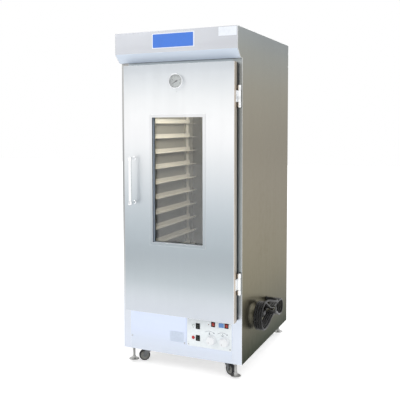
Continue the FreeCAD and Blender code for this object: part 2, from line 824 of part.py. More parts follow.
def rack():
    """Channel uprights in the chamber and the tapered angle rails that hang on them."""
    uprights = []
    for end in ("front", "rear"):
        low = f"upright_{end}_y"
        channel = body(f"{end}_channel")
        outline = [
            ("chamber_x", low), ("chamber_x", f"{low} + rail_sheet"),
            ("rail_x + rail_sheet", f"{low} + rail_sheet"),
            ("rail_x + rail_sheet", f"{low} + upright_face - rail_sheet"),
            ("chamber_x", f"{low} + upright_face - rail_sheet"), ("chamber_x", f"{low} + upright_face"),
            ("rail_x", f"{low} + upright_face"), ("rail_x", low),
        ]
        pad(channel, "XY", outline, "chamber_z + upright_gap", "chamber_top - upright_roof_gap")
        uprights += [channel, mirrored(f"{end}_left_channel", channel, V(1, 0, 0))]
    keep(group("rack_uprights", uprights))
    rails = body("right_rail_row")
    rails.AllowCompound = True
    shelf = [
        ("rail_x - rail_shelf - rail_sheet", "rail_y"), ("rail_x", "rail_y"),
        ("rail_x", "rail_back - rail_tip"), ("rail_x - rail_sheet", "rail_back - rail_tip"),
        ("rail_x - rail_tip_width", "rail_back"), ("rail_x - 2 * rail_tip_width", "rail_back"),
        ("rail_x - rail_shelf - rail_sheet", "rail_back - rail_tip"),
    ]
    pad(rails, "XY", shelf, "rail_low_z", "rail_low_z + rail_sheet")
    leg = corners(("rail_x - rail_sheet", "rail_y"), ("rail_x", "rail_back - rail_tip"))
    pad(rails, "XY", leg, "rail_low_z + rail_sheet", "rail_low_z + rail_leg")
    row = rails.newObject("PartDesign::LinearPattern", "rail_levels")
    row.Originals = [item for item in rails.Group if item.TypeId == "PartDesign::Pad"]
    axis = [item for item in rails.Origin.OriginFeatures if item.Role == "Z_Axis"][0]
    row.Direction = (axis, [""])
    row.setExpression("Length", bound("rail_pitch * rail_steps"))
    row.setExpression("Occurrences", bound("rail_steps + 1"))
    rails.Tip = row
    keep(group("right_tray_rails", [rails]))
    keep(mirrored("left_tray_rails", rails, V(1, 0, 0)))


def water_and_heat():
    """Water pan on its folded legs, and the two heater loops under and round it."""
    low = "chamber_z + pan_leg"
    x = ("pan_left", "pan_right")
    y = ("pan_y", "pan_y + pan_length")
    wide = ("pan_left - pan_rim", "pan_right + pan_rim")
    deep = ("pan_y - pan_rim", "pan_y + pan_length + pan_rim")
    top = f"{low} + pan_height"
    tub = block("pan_tub", x, y, (low, top))
    rim = block("pan_brim", wide, deep, (f"{top} - liner_sheet", top))
    along_leg = ("pan_y + pan_leg_inset", "pan_y + pan_length - pan_leg_inset")
    legs = []
    for side, edge in (("left", "pan_left + pan_leg_inset"), ("right", "pan_right - pan_leg_inset")):
        wall = (f"{edge} - liner_sheet / 2", f"{edge} + liner_sheet / 2")
        legs.append(block(f"pan_{side}_leg", wall, along_leg, ("chamber_z", low)))
    hollow = block("pan_hollow", (f"{x[0]} + liner_sheet", f"{x[1]} - liner_sheet"),
                   (f"{y[0]} + liner_sheet", f"{y[1]} - liner_sheet"),
                   (f"{low} + liner_sheet", f"{top} + sheet"))
    keep(cut("water_pan", fused("pan_solid", [tub, rim] + legs), [hollow]))
    loops = [heater("pan_heater", "pan_loop_width", "pan_loop_along"),
             heater("air_heater", "air_loop_width", "element_along")]
    keep(group("heating_elements", loops))


def eight_sides(x, z, radius):
    """The corners of an octagon about a point, with flats at its sides."""
    far, near = math.cos(math.pi / 8), math.sin(math.pi / 8)
    steps = [(far, -near), (far, near), (near, far), (-near, far),
             (-far, near), (-far, -near), (-near, -far), (near, -far)]
    return [(f"{x} + {a:.6f} * {radius}", f"{z} + {b:.6f} * {radius}") for a, b in steps]


def heater(name, width, start):
    """A hairpin element: half a ring, two legs and their plates on the chamber's back wall."""
    z = "chamber_z + element_rise"
    bend_y = f"front_y + {start} + {width} / 2"
    ring = body(f"{name}_bend")
    turn = ring.newObject("PartDesign::Revolution", f"{name}_turn")
    outline = sketch(ring, "XZ", eight_sides(f"{width} / 2", "0", "element_radius"), "0")
    turn.Profile = outline
    turn.ReferenceAxis = (outline, ["V_Axis"])
    turn.Angle = 180
    ring.Placement = FreeCAD.Placement(V(), FreeCAD.Rotation(V(0, 0, 1), 180))
    parts = [seat(ring, ("0", bend_y, z))]
    for side, x in (("left", f"0 - {width} / 2"), ("right", f"{width} / 2")):
        leg = body(f"{name}_{side}_leg")
        pad(leg, "XZ", eight_sides(x, z, "element_radius"), bend_y, "chamber_back")
        wide = (f"{x} - element_plate / 2", f"{x} + element_plate / 2")
        plate = block(f"{name}_{side}_plate", wide, ("chamber_back - sheet", "chamber_back"),
                      ("chamber_z", "chamber_z + 2 * element_rise"))
        parts += [leg, plate]
    return fused(name, parts)


def door_ring(name, x_inset, y, hole):
    """A board of the door's outline, this far in, with a window hole this much larger."""
    board = block(f"{name}_board", (f"door_left + {x_inset}", f"door_right - {x_inset}"), y,
                  (f"door_low + {x_inset}", f"door_high - {x_inset}"))
    return cut(name, board, [window_block(f"{name}_window", y, hole)])


def window_block(name, y, grown):
    """A block over the window opening, grown on every side, that passes both faces."""
    return block(name, (f"window_left - ({grown})", f"window_right + ({grown})"),
                 (f"{y[0]} - sheet", f"{y[1]} + sheet"),
                 (f"window_low - ({grown})", f"window_high + ({grown})"))


def door():
    """Door pan, inner panel, filling, gasket and the double-glazed window."""
    shell = block("door_outside", ("door_left", "door_right"), ("door_face", "door_back"),
                  ("door_low", "door_high"))
    hollow = block("door_inside", ("door_left + door_sheet", "door_right - door_sheet"),
                   ("door_face + door_sheet", "door_back + sheet"),
                   ("door_low + door_sheet", "door_high - door_sheet"))
    hole = window_block("door_window", ("door_face", "door_back"), "trim_sheet")
    keep(cut("door_skin", shell, [hollow, hole]))
    keep(door_ring("door_inner_panel", "door_sheet", ("pane_back", "door_back"), "0"))
    keep(door_ring("door_insulation", "door_sheet", ("door_face + door_sheet", "pane_back"), "pane_lap"))
    y = ("door_back", "front_y - gasket_gap")
    seal = block("gasket_outside", ("door_left + gasket_inset", "door_right - gasket_inset"), y,
                 ("door_low + gasket_inset", "door_high - gasket_inset"))
    inner = "gasket_inset + gasket_width"
    middle = block("gasket_inside", (f"door_left + {inner}", f"door_right - {inner}"),
                   ("door_back - sheet", "front_y + sheet"), (f"door_low + {inner}", f"door_high - {inner}"))
    keep(cut("door_gasket", seal, [middle]))
    window()


def grown_block(name, y, grown):
    """A block over the window opening, grown on every side, between two depths."""
    return block(name, (f"window_left - ({grown})", f"window_right + ({grown})"), y,
                 (f"window_low - ({grown})", f"window_high + ({grown})"))


def window():
    """Trim with its reveal, two panes and the spacer between them."""
    border = grown_block("trim_flange", ("door_face - trim_proud", "door_face"), "trim_border")
    reveal = grown_block("trim_reveal", ("door_face - trim_proud", "pane_front"), "trim_sheet")
    hole = window_block("trim_hole", ("door_face - trim_proud", "pane_front"), "0")
    keep(cut("window_trim", fused("trim_solid", [border, reveal]), [hole]))
    panes = [grown_block("front_pane", ("pane_front", "spacer_front"), "pane_lap"),
             grown_block("rear_pane", ("spacer_back", "pane_back"), "pane_lap")]
    keep(group("window_panes", panes))
    bar = grown_block("spacer_bar", ("spacer_front", "spacer_back"), "pane_lap")
    middle = window_block("spacer_middle", ("spacer_front", "spacer_back"), "pane_lap - spacer_width")
    keep(cut("pane_spacer", bar, [middle]))


def handle():
    """Bar with flared ends on two posts."""
    outline = [
        ("0", "0"), ("handle_end_radius", "0"), ("handle_radius", "handle_flare"),
        ("handle_radius", "handle_length - handle_flare"), ("handle_end_radius", "handle_length"),
        ("0", "handle_length"),
    ]
    bar = turned("handle_bar", "Z", outline, ("handle_x", "handle_y", "handle_z"))
    posts = [prism(f"handle_post_{number}", "Y", 8, "handle_post_radius", "handle_stand",
                   ("handle_x", "handle_y", z)) for number, z in enumerate((
                       "handle_z + handle_post_inset", "handle_z + handle_length - handle_post_inset"))]
    keep(fused("door_handle", [bar] + posts))


def gauge():
    """Dial thermometer on the door: case, dial with its post, needle and lens."""
    inside = "gauge_radius - gauge_wall"
    outline = [
        ("0", "0"), ("gauge_radius", "0"), ("gauge_radius", "gauge_depth"), (inside, "gauge_depth"),
        (inside, "gauge_floor"), ("0", "gauge_floor"),
    ]
    spot = ("door_middle", "door_face", "gauge_z")
    keep(turned("gauge_case", "-Y", outline, spot))
    face_top = "gauge_floor + dial_thickness"
    post_top = f"{face_top} + needle_gap + needle_thickness + needle_post_proud"
    face = [
        ("0", "gauge_floor"), (inside, "gauge_floor"), (inside, face_top),
        ("needle_post_radius", face_top), ("needle_post_radius", post_top), ("0", post_top),
    ]
    keep(turned("gauge_dial", "-Y", face, spot))
    keep(rod("gauge_lens", "Y", inside, "lens_thickness", ("door_middle", "lens_y", "gauge_z")))
    needle = body("needle_blade")
    outline = [
        ("0 - needle_length", "0"), ("0", "0 - needle_half_width"),
        ("needle_tail", "0 - needle_half_width / 2"), ("needle_tail", "needle_half_width / 2"),
        ("0", "needle_half_width"),
    ]
    pad(needle, "XZ", outline, "0 - needle_thickness", "0")
    needle.Placement = FreeCAD.Placement(V(), FreeCAD.Rotation(V(0, 1, 0), -30))
    seat(needle, ("door_middle", "needle_y", "gauge_z"))
    hub = prism("needle_hub", "-Y", 8, "needle_hub_radius", "needle_thickness",
                ("door_middle", "needle_y", "gauge_z"))
    hole = rod("needle_hole", "-Y", "needle_post_radius + shaft_clearance", "3 * needle_thickness",
               ("door_middle", "needle_y + needle_thickness", "gauge_z"))
    keep(cut("gauge_pointer", fused("needle_solid", [needle, hub]), [hole]))


def hinges():
    """Two hinges: ears on the cabinet, a knuckle on the door's edge and a pin through them."""
    ears, leaves, pins = [], [], []
    for name in ("upper", "lower"):
        z = f"hinge_{name}_z"
        ears.append(hinge_ears(name, z))
        leaves.append(hinge_leaf(name, z))
        pins.append(rod(f"{name}_pin", "Z", "hinge_pin_radius", "hinge_height - 2 * hinge_pin_inset",
                        ("hinge_x", "hinge_y", f"{z} - hinge_height / 2 + hinge_pin_inset")))
    keep(group("hinge_body_leaves", ears))
    keep(group("hinge_door_leaves", leaves))
    keep(group("hinge_pins", pins))


def hinge_ears(name, z):
    """Cabinet half of a hinge: two ears joined by a plate on the flange."""
    ear = "(hinge_height / 2 - hinge_knuckle / 2 - hinge_clearance)"
    x = ("hinge_x - hinge_knuckle_radius", "hinge_x + hinge_knuckle_radius")
    bottom = f"{z} - hinge_height / 2"
    parts = [block(f"{name}_ear_plate", x, ("front_y - hinge_plate", "front_y"),
                   (bottom, f"{z} + hinge_height / 2"))]
    for end, low in (("bottom", bottom), ("top", f"{z} + hinge_height / 2 - {ear}")):
        parts.append(rod(f"{name}_{end}_ear", "Z", "hinge_ear_radius", ear, ("hinge_x", "hinge_y", low)))
        parts.append(block(f"{name}_{end}_ear_block", x, ("hinge_y", "front_y"), (low, f"{low} + {ear}")))
    bore = rod(f"{name}_ear_bore", "Z", "hinge_pin_radius", "hinge_height", ("hinge_x", "hinge_y", bottom))
    return cut(f"{name}_hinge_ears", fused(f"{name}_ears_solid", parts), [bore])


def hinge_leaf(name, z):
    """Door half of a hinge: a knuckle and its leaf on the door's edge."""
    low = f"{z} - hinge_knuckle / 2"
    knuckle = rod(f"{name}_knuckle", "Z", "hinge_knuckle_radius", "hinge_knuckle",
                  ("hinge_x", "hinge_y", low))
    plate = block(f"{name}_leaf_plate", ("door_right", "door_right + hinge_leaf_plate"),
                  ("hinge_y - hinge_leaf_reach", "hinge_y + hinge_leaf_back"),
                  (low, f"{low} + hinge_knuckle"))
    bore = rod(f"{name}_knuckle_bore", "Z", "hinge_pin_radius + shaft_clearance",
               "hinge_knuckle + 2 * hinge_pin_inset", ("hinge_x", "hinge_y", f"{low} - hinge_pin_inset"))
    return cut(f"{name}_hinge_leaf", fused(f"{name}_leaf_solid", [knuckle, plate]), [bore])


def casters():
    """Swivel casters: fixed tops with race and kingpin, forks with their axle, and wheels."""
    tops = []
    for name, sign, end in foot_spots():
        x = f"{sign} * caster_x"
        y = spot_y(end, "caster_along")
        tops.append(caster_top(name, x, y))
        swing = size("front_trail_angle")
        angle = {"front_right": -swing, "front_left": 180 + swing,
                 "rear_right": swing, "rear_left": 180 - swing}[name]
        keep(fork(f"{name}_caster_fork", x, y, angle))
        keep(wheel(f"{name}_caster_wheel", x, y, angle))
    keep(group("caster_tops", tops))


def caster_top(name, x, y):
    """Mounting plate, ball race and the riveted kingpin of one caster."""
    half = "caster_plate / 2"
    plate = block(f"{name}_caster_plate", (f"{x} - {half}", f"{x} + {half}"),
                  (f"{y} - {half}", f"{y} + {half}"), ("base_z - caster_plate_thickness", "base_z"))
    race = rod(f"{name}_caster_race", "-Z", "caster_race_radius", "caster_race_height",
               (x, y, "base_z - caster_plate_thickness"))
    pin = rod(f"{name}_kingpin", "-Z", "caster_pin_radius",
              "caster_race_height + 2 * caster_gap + fork_crown", (x, y, "base_z - caster_plate_thickness"))
    rivet = prism(f"{name}_rivet", "-Z", 8, "caster_rivet_radius", "caster_rivet_height",
                  (x, y, "fork_top - fork_crown - caster_gap"))
    return fused(f"{name}_caster_top", [plate, race, pin, rivet])


def swung(piece, x, y, angle):
    """Stands a caster piece on its swivel axis and turns it to its rest angle."""
    piece.Placement = FreeCAD.Placement(V(), FreeCAD.Rotation(V(0, 0, 1), angle))
    return seat(piece, (x, y, "0"))


def fork(name, x, y, angle):
    """Fork with tapered legs; its axle is riveted into the leg eyes. It trails along its own +X."""
    parts = [block(f"{name}_crown", ("0 - fork_length / 2", "fork_length / 2"),
                   ("0 - fork_inside - fork_leg", "fork_inside + fork_leg"),
                   ("fork_top - fork_crown", "fork_top"))]
    for side, low in (("near", "0 - fork_inside - fork_leg"), ("far", "fork_inside")):
        leg = body(f"{name}_{side}_leg")
        outline = [
            ("0 - fork_length / 2", "fork_top"), ("0 - fork_length / 2", "fork_top - fork_crown * 2"),
            ("caster_trail - fork_eye", "wheel_radius"),
            ("caster_trail - fork_eye / 2", "wheel_radius - fork_eye * 0.87"),
            ("caster_trail + fork_eye / 2", "wheel_radius - fork_eye * 0.87"),
            ("caster_trail + fork_eye", "wheel_radius"),
            ("fork_length / 2 + axle_head_radius", "fork_top - fork_crown * 2"),
            ("fork_length / 2", "fork_top"),
        ]
        pad(leg, "XZ", outline, low, f"{low} + fork_leg")
        parts.append(leg)
    parts.append(rod(f"{name}_axle", "Y", "axle_radius", "2 * (fork_inside + fork_leg)",
                     ("caster_trail", "0 - fork_inside - fork_leg", "wheel_radius")))
    for side, axis, out in (("near", "-Y", "0 - fork_inside - fork_leg"),
                            ("far", "Y", "fork_inside + fork_leg")):
        parts.append(prism(f"{name}_{side}_head", axis, 6, "axle_head_radius", "axle_head",
                           ("caster_trail", out, "wheel_radius")))
    bore = rod(f"{name}_swivel_bore", "Z", "caster_pin_radius + shaft_clearance", "fork_crown * 3",
               ("0", "0", "fork_top - fork_crown * 2"))
    return swung(cut(name, fused(f"{name}_solid", parts), [bore]), x, y, angle)


def wheel(name, x, y, angle):
    """Wheel with a hub that stands out at both sides and turns on the axle."""
    wide = "wheel_width + wheel_side_gap"
    tread = rod(f"{name}_tread", "Y", "wheel_radius", "wheel_width",
                ("caster_trail", "0 - wheel_width / 2", "wheel_radius"))
    hub = prism(f"{name}_hub", "Y", 12, "wheel_hub_radius", wide,
                ("caster_trail", f"0 - ({wide}) / 2", "wheel_radius"))
    bore = rod(f"{name}_bore", "Y", "axle_radius + shaft_clearance", f"2 * ({wide})",
               ("caster_trail", f"0 - ({wide})", "wheel_radius"))
    return swung(cut(name, fused(f"{name}_solid", [tread, hub]), [bore]), x, y, angle)


def feet():
    """Levelling feet screwed up clear of the floor."""
    for name, sign, end in foot_spots():
        spot = (f"{sign} * foot_x", spot_y(end, "foot_along"), "foot_lift")
        pad_disc = rod(f"{name}_foot_disc", "Z", "foot_radius", "foot_rim", spot)
        nut = prism(f"{name}_foot_nut", "Z", 6, "foot_collar_radius", "foot_rim + foot_collar", spot)
        stem = rod(f"{name}_foot_stem", "Z", "foot_stem_radius", "foot_stem_top - foot_lift", spot)
        keep(fused(f"{name}_levelling_foot", [pad_disc, nut, stem]))


def gland():
    """Cable gland through the right side: a nut inside, a six-sided head and its strain relief."""
    inner_face = "half_width - 2 * sheet"
    nut = prism("gland_nut", "X", 6, "gland_radius", "gland_inside",
                (f"{inner_face} - gland_inside", "gland_y", "gland_z"))
    neck = rod("gland_neck", "X", "gland_neck_radius", "2 * sheet", (inner_face, "gland_y", "gland_z"))
    head = prism("gland_head", "X", 6, "gland_radius", "gland_flange", ("half_width", "gland_y", "gland_z"))
    taper = [
        ("0", "gland_flange"), ("gland_neck_radius", "gland_flange"), ("gland_tip_radius", "gland_proud"),
        ("0", "gland_proud"),
    ]
    relief = turned("gland_relief", "X", taper, ("half_width", "gland_y", "gland_z"))
    keep(fused("cord_gland", [nut, neck, head, relief]))


def solid_along(path, radius):
    """A tube with six flats along a wire."""
    start = path.Edges[0]
    spot, ahead = start.valueAt(start.FirstParameter), start.tangentAt(start.FirstParameter)
    side = ahead.cross(V(0, 0, 1)).normalize()
    up = side.cross(ahead)
    turns = [math.pi * number / 3 for number in range(7)]
    ring = [spot + side * (radius * math.cos(turn)) + up * (radius * math.sin(turn)) for turn in turns]
    return path.makePipeShell([Part.makePolygon(ring)], True, False)


# Route of the lead from the gland to the hank: out from the side, back and up from the gland.
LEAD_ROUTE = [
    (20, 0, 0), (36, 0, 0), (50, -8, 0.5), (58, -22, 2), (59, -40, 5), (57, -61, 9.5),
    (54, -84, 15.5), (50.5, -107, 22), (46.2, -134, 28), (46.2, -160, 28),
]


def rounded_route(points):
    """Straight runs joined by tangent arcs, each as large as its two runs allow."""
    edges, radii, start = [], [], points[0]
    for before, corner, after in zip(points, points[1:], points[2:]):
        back, on = (before - corner), (after - corner)
        shorter = min(back.Length, on.Length)
        back.normalize()
        on.normalize()
        turn = math.pi - math.acos(max(-1, min(1, back.dot(on))))
        reach = 0.45 * shorter
        radii.append(reach / math.tan(turn / 2))
        middle = back + on
        middle.normalize()
        depth = radii[-1] * (1 / math.cos(turn / 2) - 1)
        first, last = corner + back * reach, corner + on * reach
        edges.append(Part.LineSegment(start, first).toShape())
        edges.append(Part.Arc(first, corner + middle * depth, last).toShape())
        start = last
    edges.append(Part.LineSegment(start, points[-1]).toShape())
    print("lead radii:", [round(radius, 1) for radius in radii])
    return Part.Wire(edges)


def biarc(start, leaving, end, arriving):
    """Two arcs that share a tangent and join two points along two unit directions."""
    chord = end - start
    across = chord.dot(leaving + arriving)
    spread = 2 * (1 - leaving.dot(arriving))
    if spread < 1e-9:
        reach = chord.dot(chord) / (2 * across)
    else:
        reach = (math.sqrt(across ** 2 + spread * chord.dot(chord)) - across) / spread
    first, last = start + leaving * reach, end - arriving * reach
    joint = (first + last) * 0.5
    return [tangent_arc(start, first, joint), tangent_arc(joint, last, end)]


def tangent_arc(start, corner, end):
    """The arc that leaves towards a corner and arrives from it."""
    back, on = start - corner, end - corner
    reach = back.Length
    back.normalize()
    on.normalize()
    turn = math.pi - math.acos(max(-1, min(1, back.dot(on))))
    if turn < 1e-6:
        return Part.LineSegment(start, end).toShape()
    middle = back + on
    middle.normalize()
    depth = reach / math.tan(turn / 2) * (1 / math.cos(turn / 2) - 1)
    return Part.Arc(start, corner + middle * depth, end).toShape()


def hank_stations():
    """Points and directions along the hank: a straight start, loops drawn in at the waist, a tail."""
    forward, backward, up, down = V(0, -1, 0), V(0, 1, 0), V(0, 0, 1), V(0, 0, -1)
    front_y = size("gland_y") - size("front_lobe_forward")
    front_z = size("gland_z") - size("front_lobe_drop")
    front_r = size("front_lobe_radius")
    rear_y = size("gland_y") + size("rear_lobe_back")
    rear_z = size("gland_z") - size("rear_lobe_drop")
    rear_r = size("rear_lobe_radius")
    waist_y, waist_z, step = size("waist_y"), size("waist_z"), size("hank_waist_step")
    loops = int(size("hank_loops"))
    stations = []
    for loop in range(loops):
        x = size("hank_outer_x") - loop * size("hank_pitch")
        inner = x - size("hank_pitch")
        stations += [
            (V(x, front_y, front_z + front_r), forward), (V(x, front_y - front_r, front_z), down),
            (V(x, front_y, front_z - front_r), backward), (V(x, waist_y, waist_z - step), backward),
            (V(inner, rear_y, rear_z - rear_r), backward), (V(inner, rear_y + rear_r, rear_z), up),
            (V(inner, rear_y, rear_z + rear_r), forward),
            (V(inner, waist_y, waist_z + (step if loop < loops - 1 else 0)), forward),
        ]
    tail = V(size("plug_x"), size("plug_y") + 2 * size("cable_radius"), size("plug_z"))
    return stations + [(tail, forward)]


def hank_path():
    """The hank's centre line as one wire, straight for one cable diameter at each end."""
    stations = hank_stations()
    straight = V(0, 2 * size("cable_radius"), 0)
    edges = [Part.LineSegment(stations[0][0] + straight, stations[0][0]).toShape()]
    for (start, leaving), (end, arriving) in zip(stations, stations[1:]):
        edges += biarc(start, leaving, end, arriving)
    edges.append(Part.LineSegment(stations[-1][0], stations[-1][0] - straight).toShape())
    return Part.Wire(edges)


def least_gap(path, diameter):
    """The least clear distance between stretches of the wire that aren't neighbours."""
    spacing = diameter / 3
    count = int(path.Length / spacing)
    points = path.discretize(count)
    apart = int(math.pi * diameter / spacing)
    cells = {}
    for number, point in enumerate(points):
        cell = tuple(int(math.floor(value / (2 * diameter))) for value in point)
        cells.setdefault(cell, []).append((number, point))
    least = 2 * diameter
    for number, point in enumerate(points):
        home = [int(math.floor(value / (2 * diameter))) for value in point]
        for i in (-1, 0, 1):
            for j in (-1, 0, 1):
                for k in (-1, 0, 1):
                    for other, place in cells.get((home[0] + i, home[1] + j, home[2] + k), []):
                        if other - number > apart:
                            least = min(least, point.distanceToPoint(place))
    return least - diameter


def cable():
    """Lead, hank, tie and plug."""
    radius = size("cable_radius")
    entry = V(size("half_width"), size("gland_y"), size("gland_z"))
    route = [entry + V(*point) for point in LEAD_ROUTE]
    lead = keep(doc.addObject("Part::Feature", "cord_lead"))
    lead_path = rounded_route(route)
    lead.Shape = solid_along(lead_path, radius)
    hank = keep(doc.addObject("Part::Feature", "cord_hank"))
    path = hank_path()
    hank.Shape = solid_along(path, radius)
    print("cable lengths:", round(lead_path.Length), round(path.Length))
    for shape, line in ((lead.Shape, lead_path), (hank.Shape, path)):
        section = 3 * radius ** 2 * math.sin(math.pi / 3)
        print("volume over section times length:", round(shape.Volume / (section * line.Length), 4))
    print("least gap in the hank:", round(least_gap(path, 2 * radius), 2))
    band = body("tie_band")
    reach = "cable_radius + tie_gap + tie_thickness"
    pad(band, "XZ", corners((f"hank_inner_x - ({reach})", f"waist_z - hank_waist_step - ({reach})"),
                            (f"hank_outer_x + {reach}", f"waist_z + hank_waist_step + {reach}")),
        "waist_y - tie_width / 2", "waist_y + tie_width / 2")
    rounded(band, "tie_corner", along(V(0, 1, 0)))
    inner = "cable_radius + tie_gap"
    hollow = block("tie_hollow", (f"hank_inner_x - ({inner})", f"hank_outer_x + {inner}"),
                   ("waist_y - tie_width", "waist_y + tie_width"),
                   (f"waist_z - hank_waist_step - ({inner})", f"waist_z + hank_waist_step + {inner}"))
    keep(cut("cord_tie", band, [hollow]))
    plug()


def plug():
    """Moulded plug: a tapered neck, a grip and three flat pins."""
    outline = [
        ("0", "0"), ("plug_neck_radius", "0"), ("plug_grip_radius", "plug_taper"),
        ("plug_grip_radius", "plug_taper + plug_grip_length"), ("0", "plug_taper + plug_grip_length"),
    ]
    grip = turned("plug_grip", "-Y", outline, ("plug_x", "plug_y", "plug_z"))
    face = "plug_y - plug_taper - plug_grip_length"
    pins = []
    for name, x, z in (("live", "plug_pin_spread", "plug_pin_lift"),
                       ("neutral", "0 - plug_pin_spread", "plug_pin_lift"),
                       ("earth", "0", "0 - plug_earth_drop")):
        width = ("plug_pin_thickness", "plug_pin_width")
        pins.append(block(f"plug_{name}_pin",
                          (f"plug_x + {x} - {width[0]} / 2", f"plug_x + {x} + {width[0]} / 2"),
                          (f"{face} - plug_pin_length", f"{face} + plug_pin_thickness"),
                          (f"plug_z + {z} - {width[1]} / 2", f"plug_z + {z} + {width[1]} / 2")))
    keep(fused("power_plug", [grip] + pins))


def check_and_write():
    """Every object computed and every node valid; then one STEP file per node."""
    doc.recompute()
    for item in doc.Objects:
        if "Invalid" in item.State or "Error" in item.State:
            raise RuntimeError(f"{item.Label} failed: {item.State}")
    for name, piece in nodes.items():
        if piece.Shape.isNull() or not piece.Shape.isValid() or not piece.Shape.Solids:
            raise RuntimeError(f"{name} has no valid shape")
    os.makedirs("parts", exist_ok=True)
    for name, piece in nodes.items():
        piece.Shape.exportStep(f"parts/{name}.step")
    print(len(nodes), "nodes")


cabinet_sheets()
chamber()
base()
switches()
lamps()
knobs()
screws()
rack()
water_and_heat()
door()
handle()
gauge()
hinges()
casters()
feet()
gland()
cable()
check_and_write()
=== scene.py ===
# %% [markdown]
# A free-standing dough proofer: an insulated stainless cabinet with a glazed door, tray rails, a
# heated base with rockers and knobs, casters and levelling feet, and a mains cable tied in a hank.
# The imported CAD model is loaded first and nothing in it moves. Each later cell dresses one part
# of it: a surface is worked out with numpy where the real piece has a form that the plain solid
# lacks, and a finish is a node material.

# %% Frame
import math

import bmesh
import bpy
import numpy as np
from mathutils import Matrix, Vector


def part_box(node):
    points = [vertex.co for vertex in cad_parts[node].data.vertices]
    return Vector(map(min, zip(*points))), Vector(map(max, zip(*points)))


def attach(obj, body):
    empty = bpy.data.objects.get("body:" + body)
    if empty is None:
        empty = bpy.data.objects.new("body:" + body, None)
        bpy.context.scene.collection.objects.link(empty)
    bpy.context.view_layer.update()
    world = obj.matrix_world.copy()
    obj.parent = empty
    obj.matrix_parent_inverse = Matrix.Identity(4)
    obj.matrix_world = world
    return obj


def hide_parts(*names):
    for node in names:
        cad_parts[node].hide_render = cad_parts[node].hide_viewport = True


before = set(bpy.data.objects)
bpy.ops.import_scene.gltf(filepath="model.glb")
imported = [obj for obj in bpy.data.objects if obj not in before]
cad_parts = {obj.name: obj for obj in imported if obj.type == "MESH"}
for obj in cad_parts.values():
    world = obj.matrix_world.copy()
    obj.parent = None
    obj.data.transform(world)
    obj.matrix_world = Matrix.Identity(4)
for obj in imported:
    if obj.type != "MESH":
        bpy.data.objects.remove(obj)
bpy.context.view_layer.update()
MM = 0.001

# %% [markdown]
# Most places below are read off the frame, so a piece sits where the solid that it stands for
# does. The few planes that many pieces share are worked out once: the cabinet's front, its
# underside, the outside of the right-hand side and the face of the door.

# %% Shared planes
SIDE_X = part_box("right_side_panel")[1].x
FRONT_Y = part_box("front_frame")[0].y
REAR_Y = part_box("back_panel")[1].y
BASE_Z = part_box("base_chassis")[0].z
TOP_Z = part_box("top_panel")[1].z
DOOR_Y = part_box("door_skin")[0].y
PLATE_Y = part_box("control_plate")[0].y
print("front", round(FRONT_Y, 4), "base", round(BASE_Z, 4), "door face", round(DOOR_Y, 4))

# %% [markdown]
# The camera comes early, because the framing says how much of each piece is seen. It stands right
# of the cabinet at chest height and looks a little down. The lens shift keeps the cabinet's
# uprights as near to parallel as the photograph shows them.

# %% Camera
CAMERA_PLACE = (1.142, -2.8125, 1.072)
CAMERA_YAW, CAMERA_PITCH, CAMERA_ROLL = (math.radians(angle) for angle in (-25.39, -3.70, -0.27))
LENS = 58.22
SHIFT = (0.0763, -0.0823)


def camera_axes(yaw, pitch, roll):
    """Right, up and backward directions: yaw turns from +Y towards +X, pitch lifts, roll tilts."""
    forward = Vector((math.sin(yaw) * math.cos(pitch), math.cos(yaw) * math.cos(pitch), math.sin(pitch)))
    right = Vector((math.cos(yaw), -math.sin(yaw), 0))
    up = right.cross(forward)
    tilted_right = right * math.cos(roll) + up * math.sin(roll)
    tilted_up = up * math.cos(roll) - right * math.sin(roll)
    return tilted_right, tilted_up, -forward


camera = bpy.data.objects.new("camera", bpy.data.cameras.new("camera"))
bpy.context.scene.collection.objects.link(camera)
camera.matrix_world = Matrix.Translation(CAMERA_PLACE) @ Matrix(
    camera_axes(CAMERA_YAW, CAMERA_PITCH, CAMERA_ROLL)).transposed().to_4x4()
camera.data.lens = LENS
camera.data.shift_x, camera.data.shift_y = SHIFT
bpy.context.scene.camera = camera
print("camera at", CAMERA_PLACE)

# %% [markdown]
# A few helpers turn arrays into pieces. A surface here is a grid of points, row by row; the faces
# between them follow from the grid's size alone, so no loop visits a point. Welding closes the
# seam where a grid meets itself and the poles where a whole row shrinks to a point.

# %% From arrays to pieces
def grid_faces(rows, columns, wrap_rows=False, wrap_columns=False):
    """Quads of a grid of points numbered row by row; a wrapped direction joins its last to its first."""
    row = np.arange(rows if wrap_rows else rows - 1)[:, None]
    column = np.arange(columns if wrap_columns else columns - 1)[None, :]
    next_row, next_column = (row + 1) % rows, (column + 1) % columns
    corners = [row * columns + column, row * columns + next_column,
               next_row * columns + next_column, next_row * columns + column]
    return np.stack(corners, axis=-1).reshape(-1, 4)


def piece_from(name, points, faces, finish=None, smooth_angle=35, weld=1e-6):
    """An object from an array of points and a list of faces, welded, facing out and shaded smooth."""
    mesh = bpy.data.meshes.new(name)
    mesh.from_pydata(np.asarray(points, float).reshape(-1, 3).tolist(), [], [list(face) for face in faces])
    made = bpy.data.objects.new(name, mesh)
    bpy.context.scene.collection.objects.link(made)
    shape = bmesh.new()
    shape.from_mesh(mesh)
    bmesh.ops.remove_doubles(shape, verts=shape.verts, dist=weld)
    bmesh.ops.recalc_face_normals(shape, faces=shape.faces)
    shape.to_mesh(mesh)
    shape.free()
    mesh.polygons.foreach_set("use_smooth", np.ones(len(mesh.polygons), bool))
    mesh.set_sharp_from_angle(angle=math.radians(smooth_angle))
    if finish:
        mesh.materials.append(finish)
    return made


def joined(parts):
    """Points and faces of several (points, faces) parts, renumbered into one pair."""
    points, faces, start = [], [], 0
    for part_points, part_faces in parts:
        part_points = np.asarray(part_points, float).reshape(-1, 3)
        points.append(part_points)
        faces += [[int(index) + start for index in face] for face in part_faces]
        start += len(part_points)
    return np.concatenate(points), faces


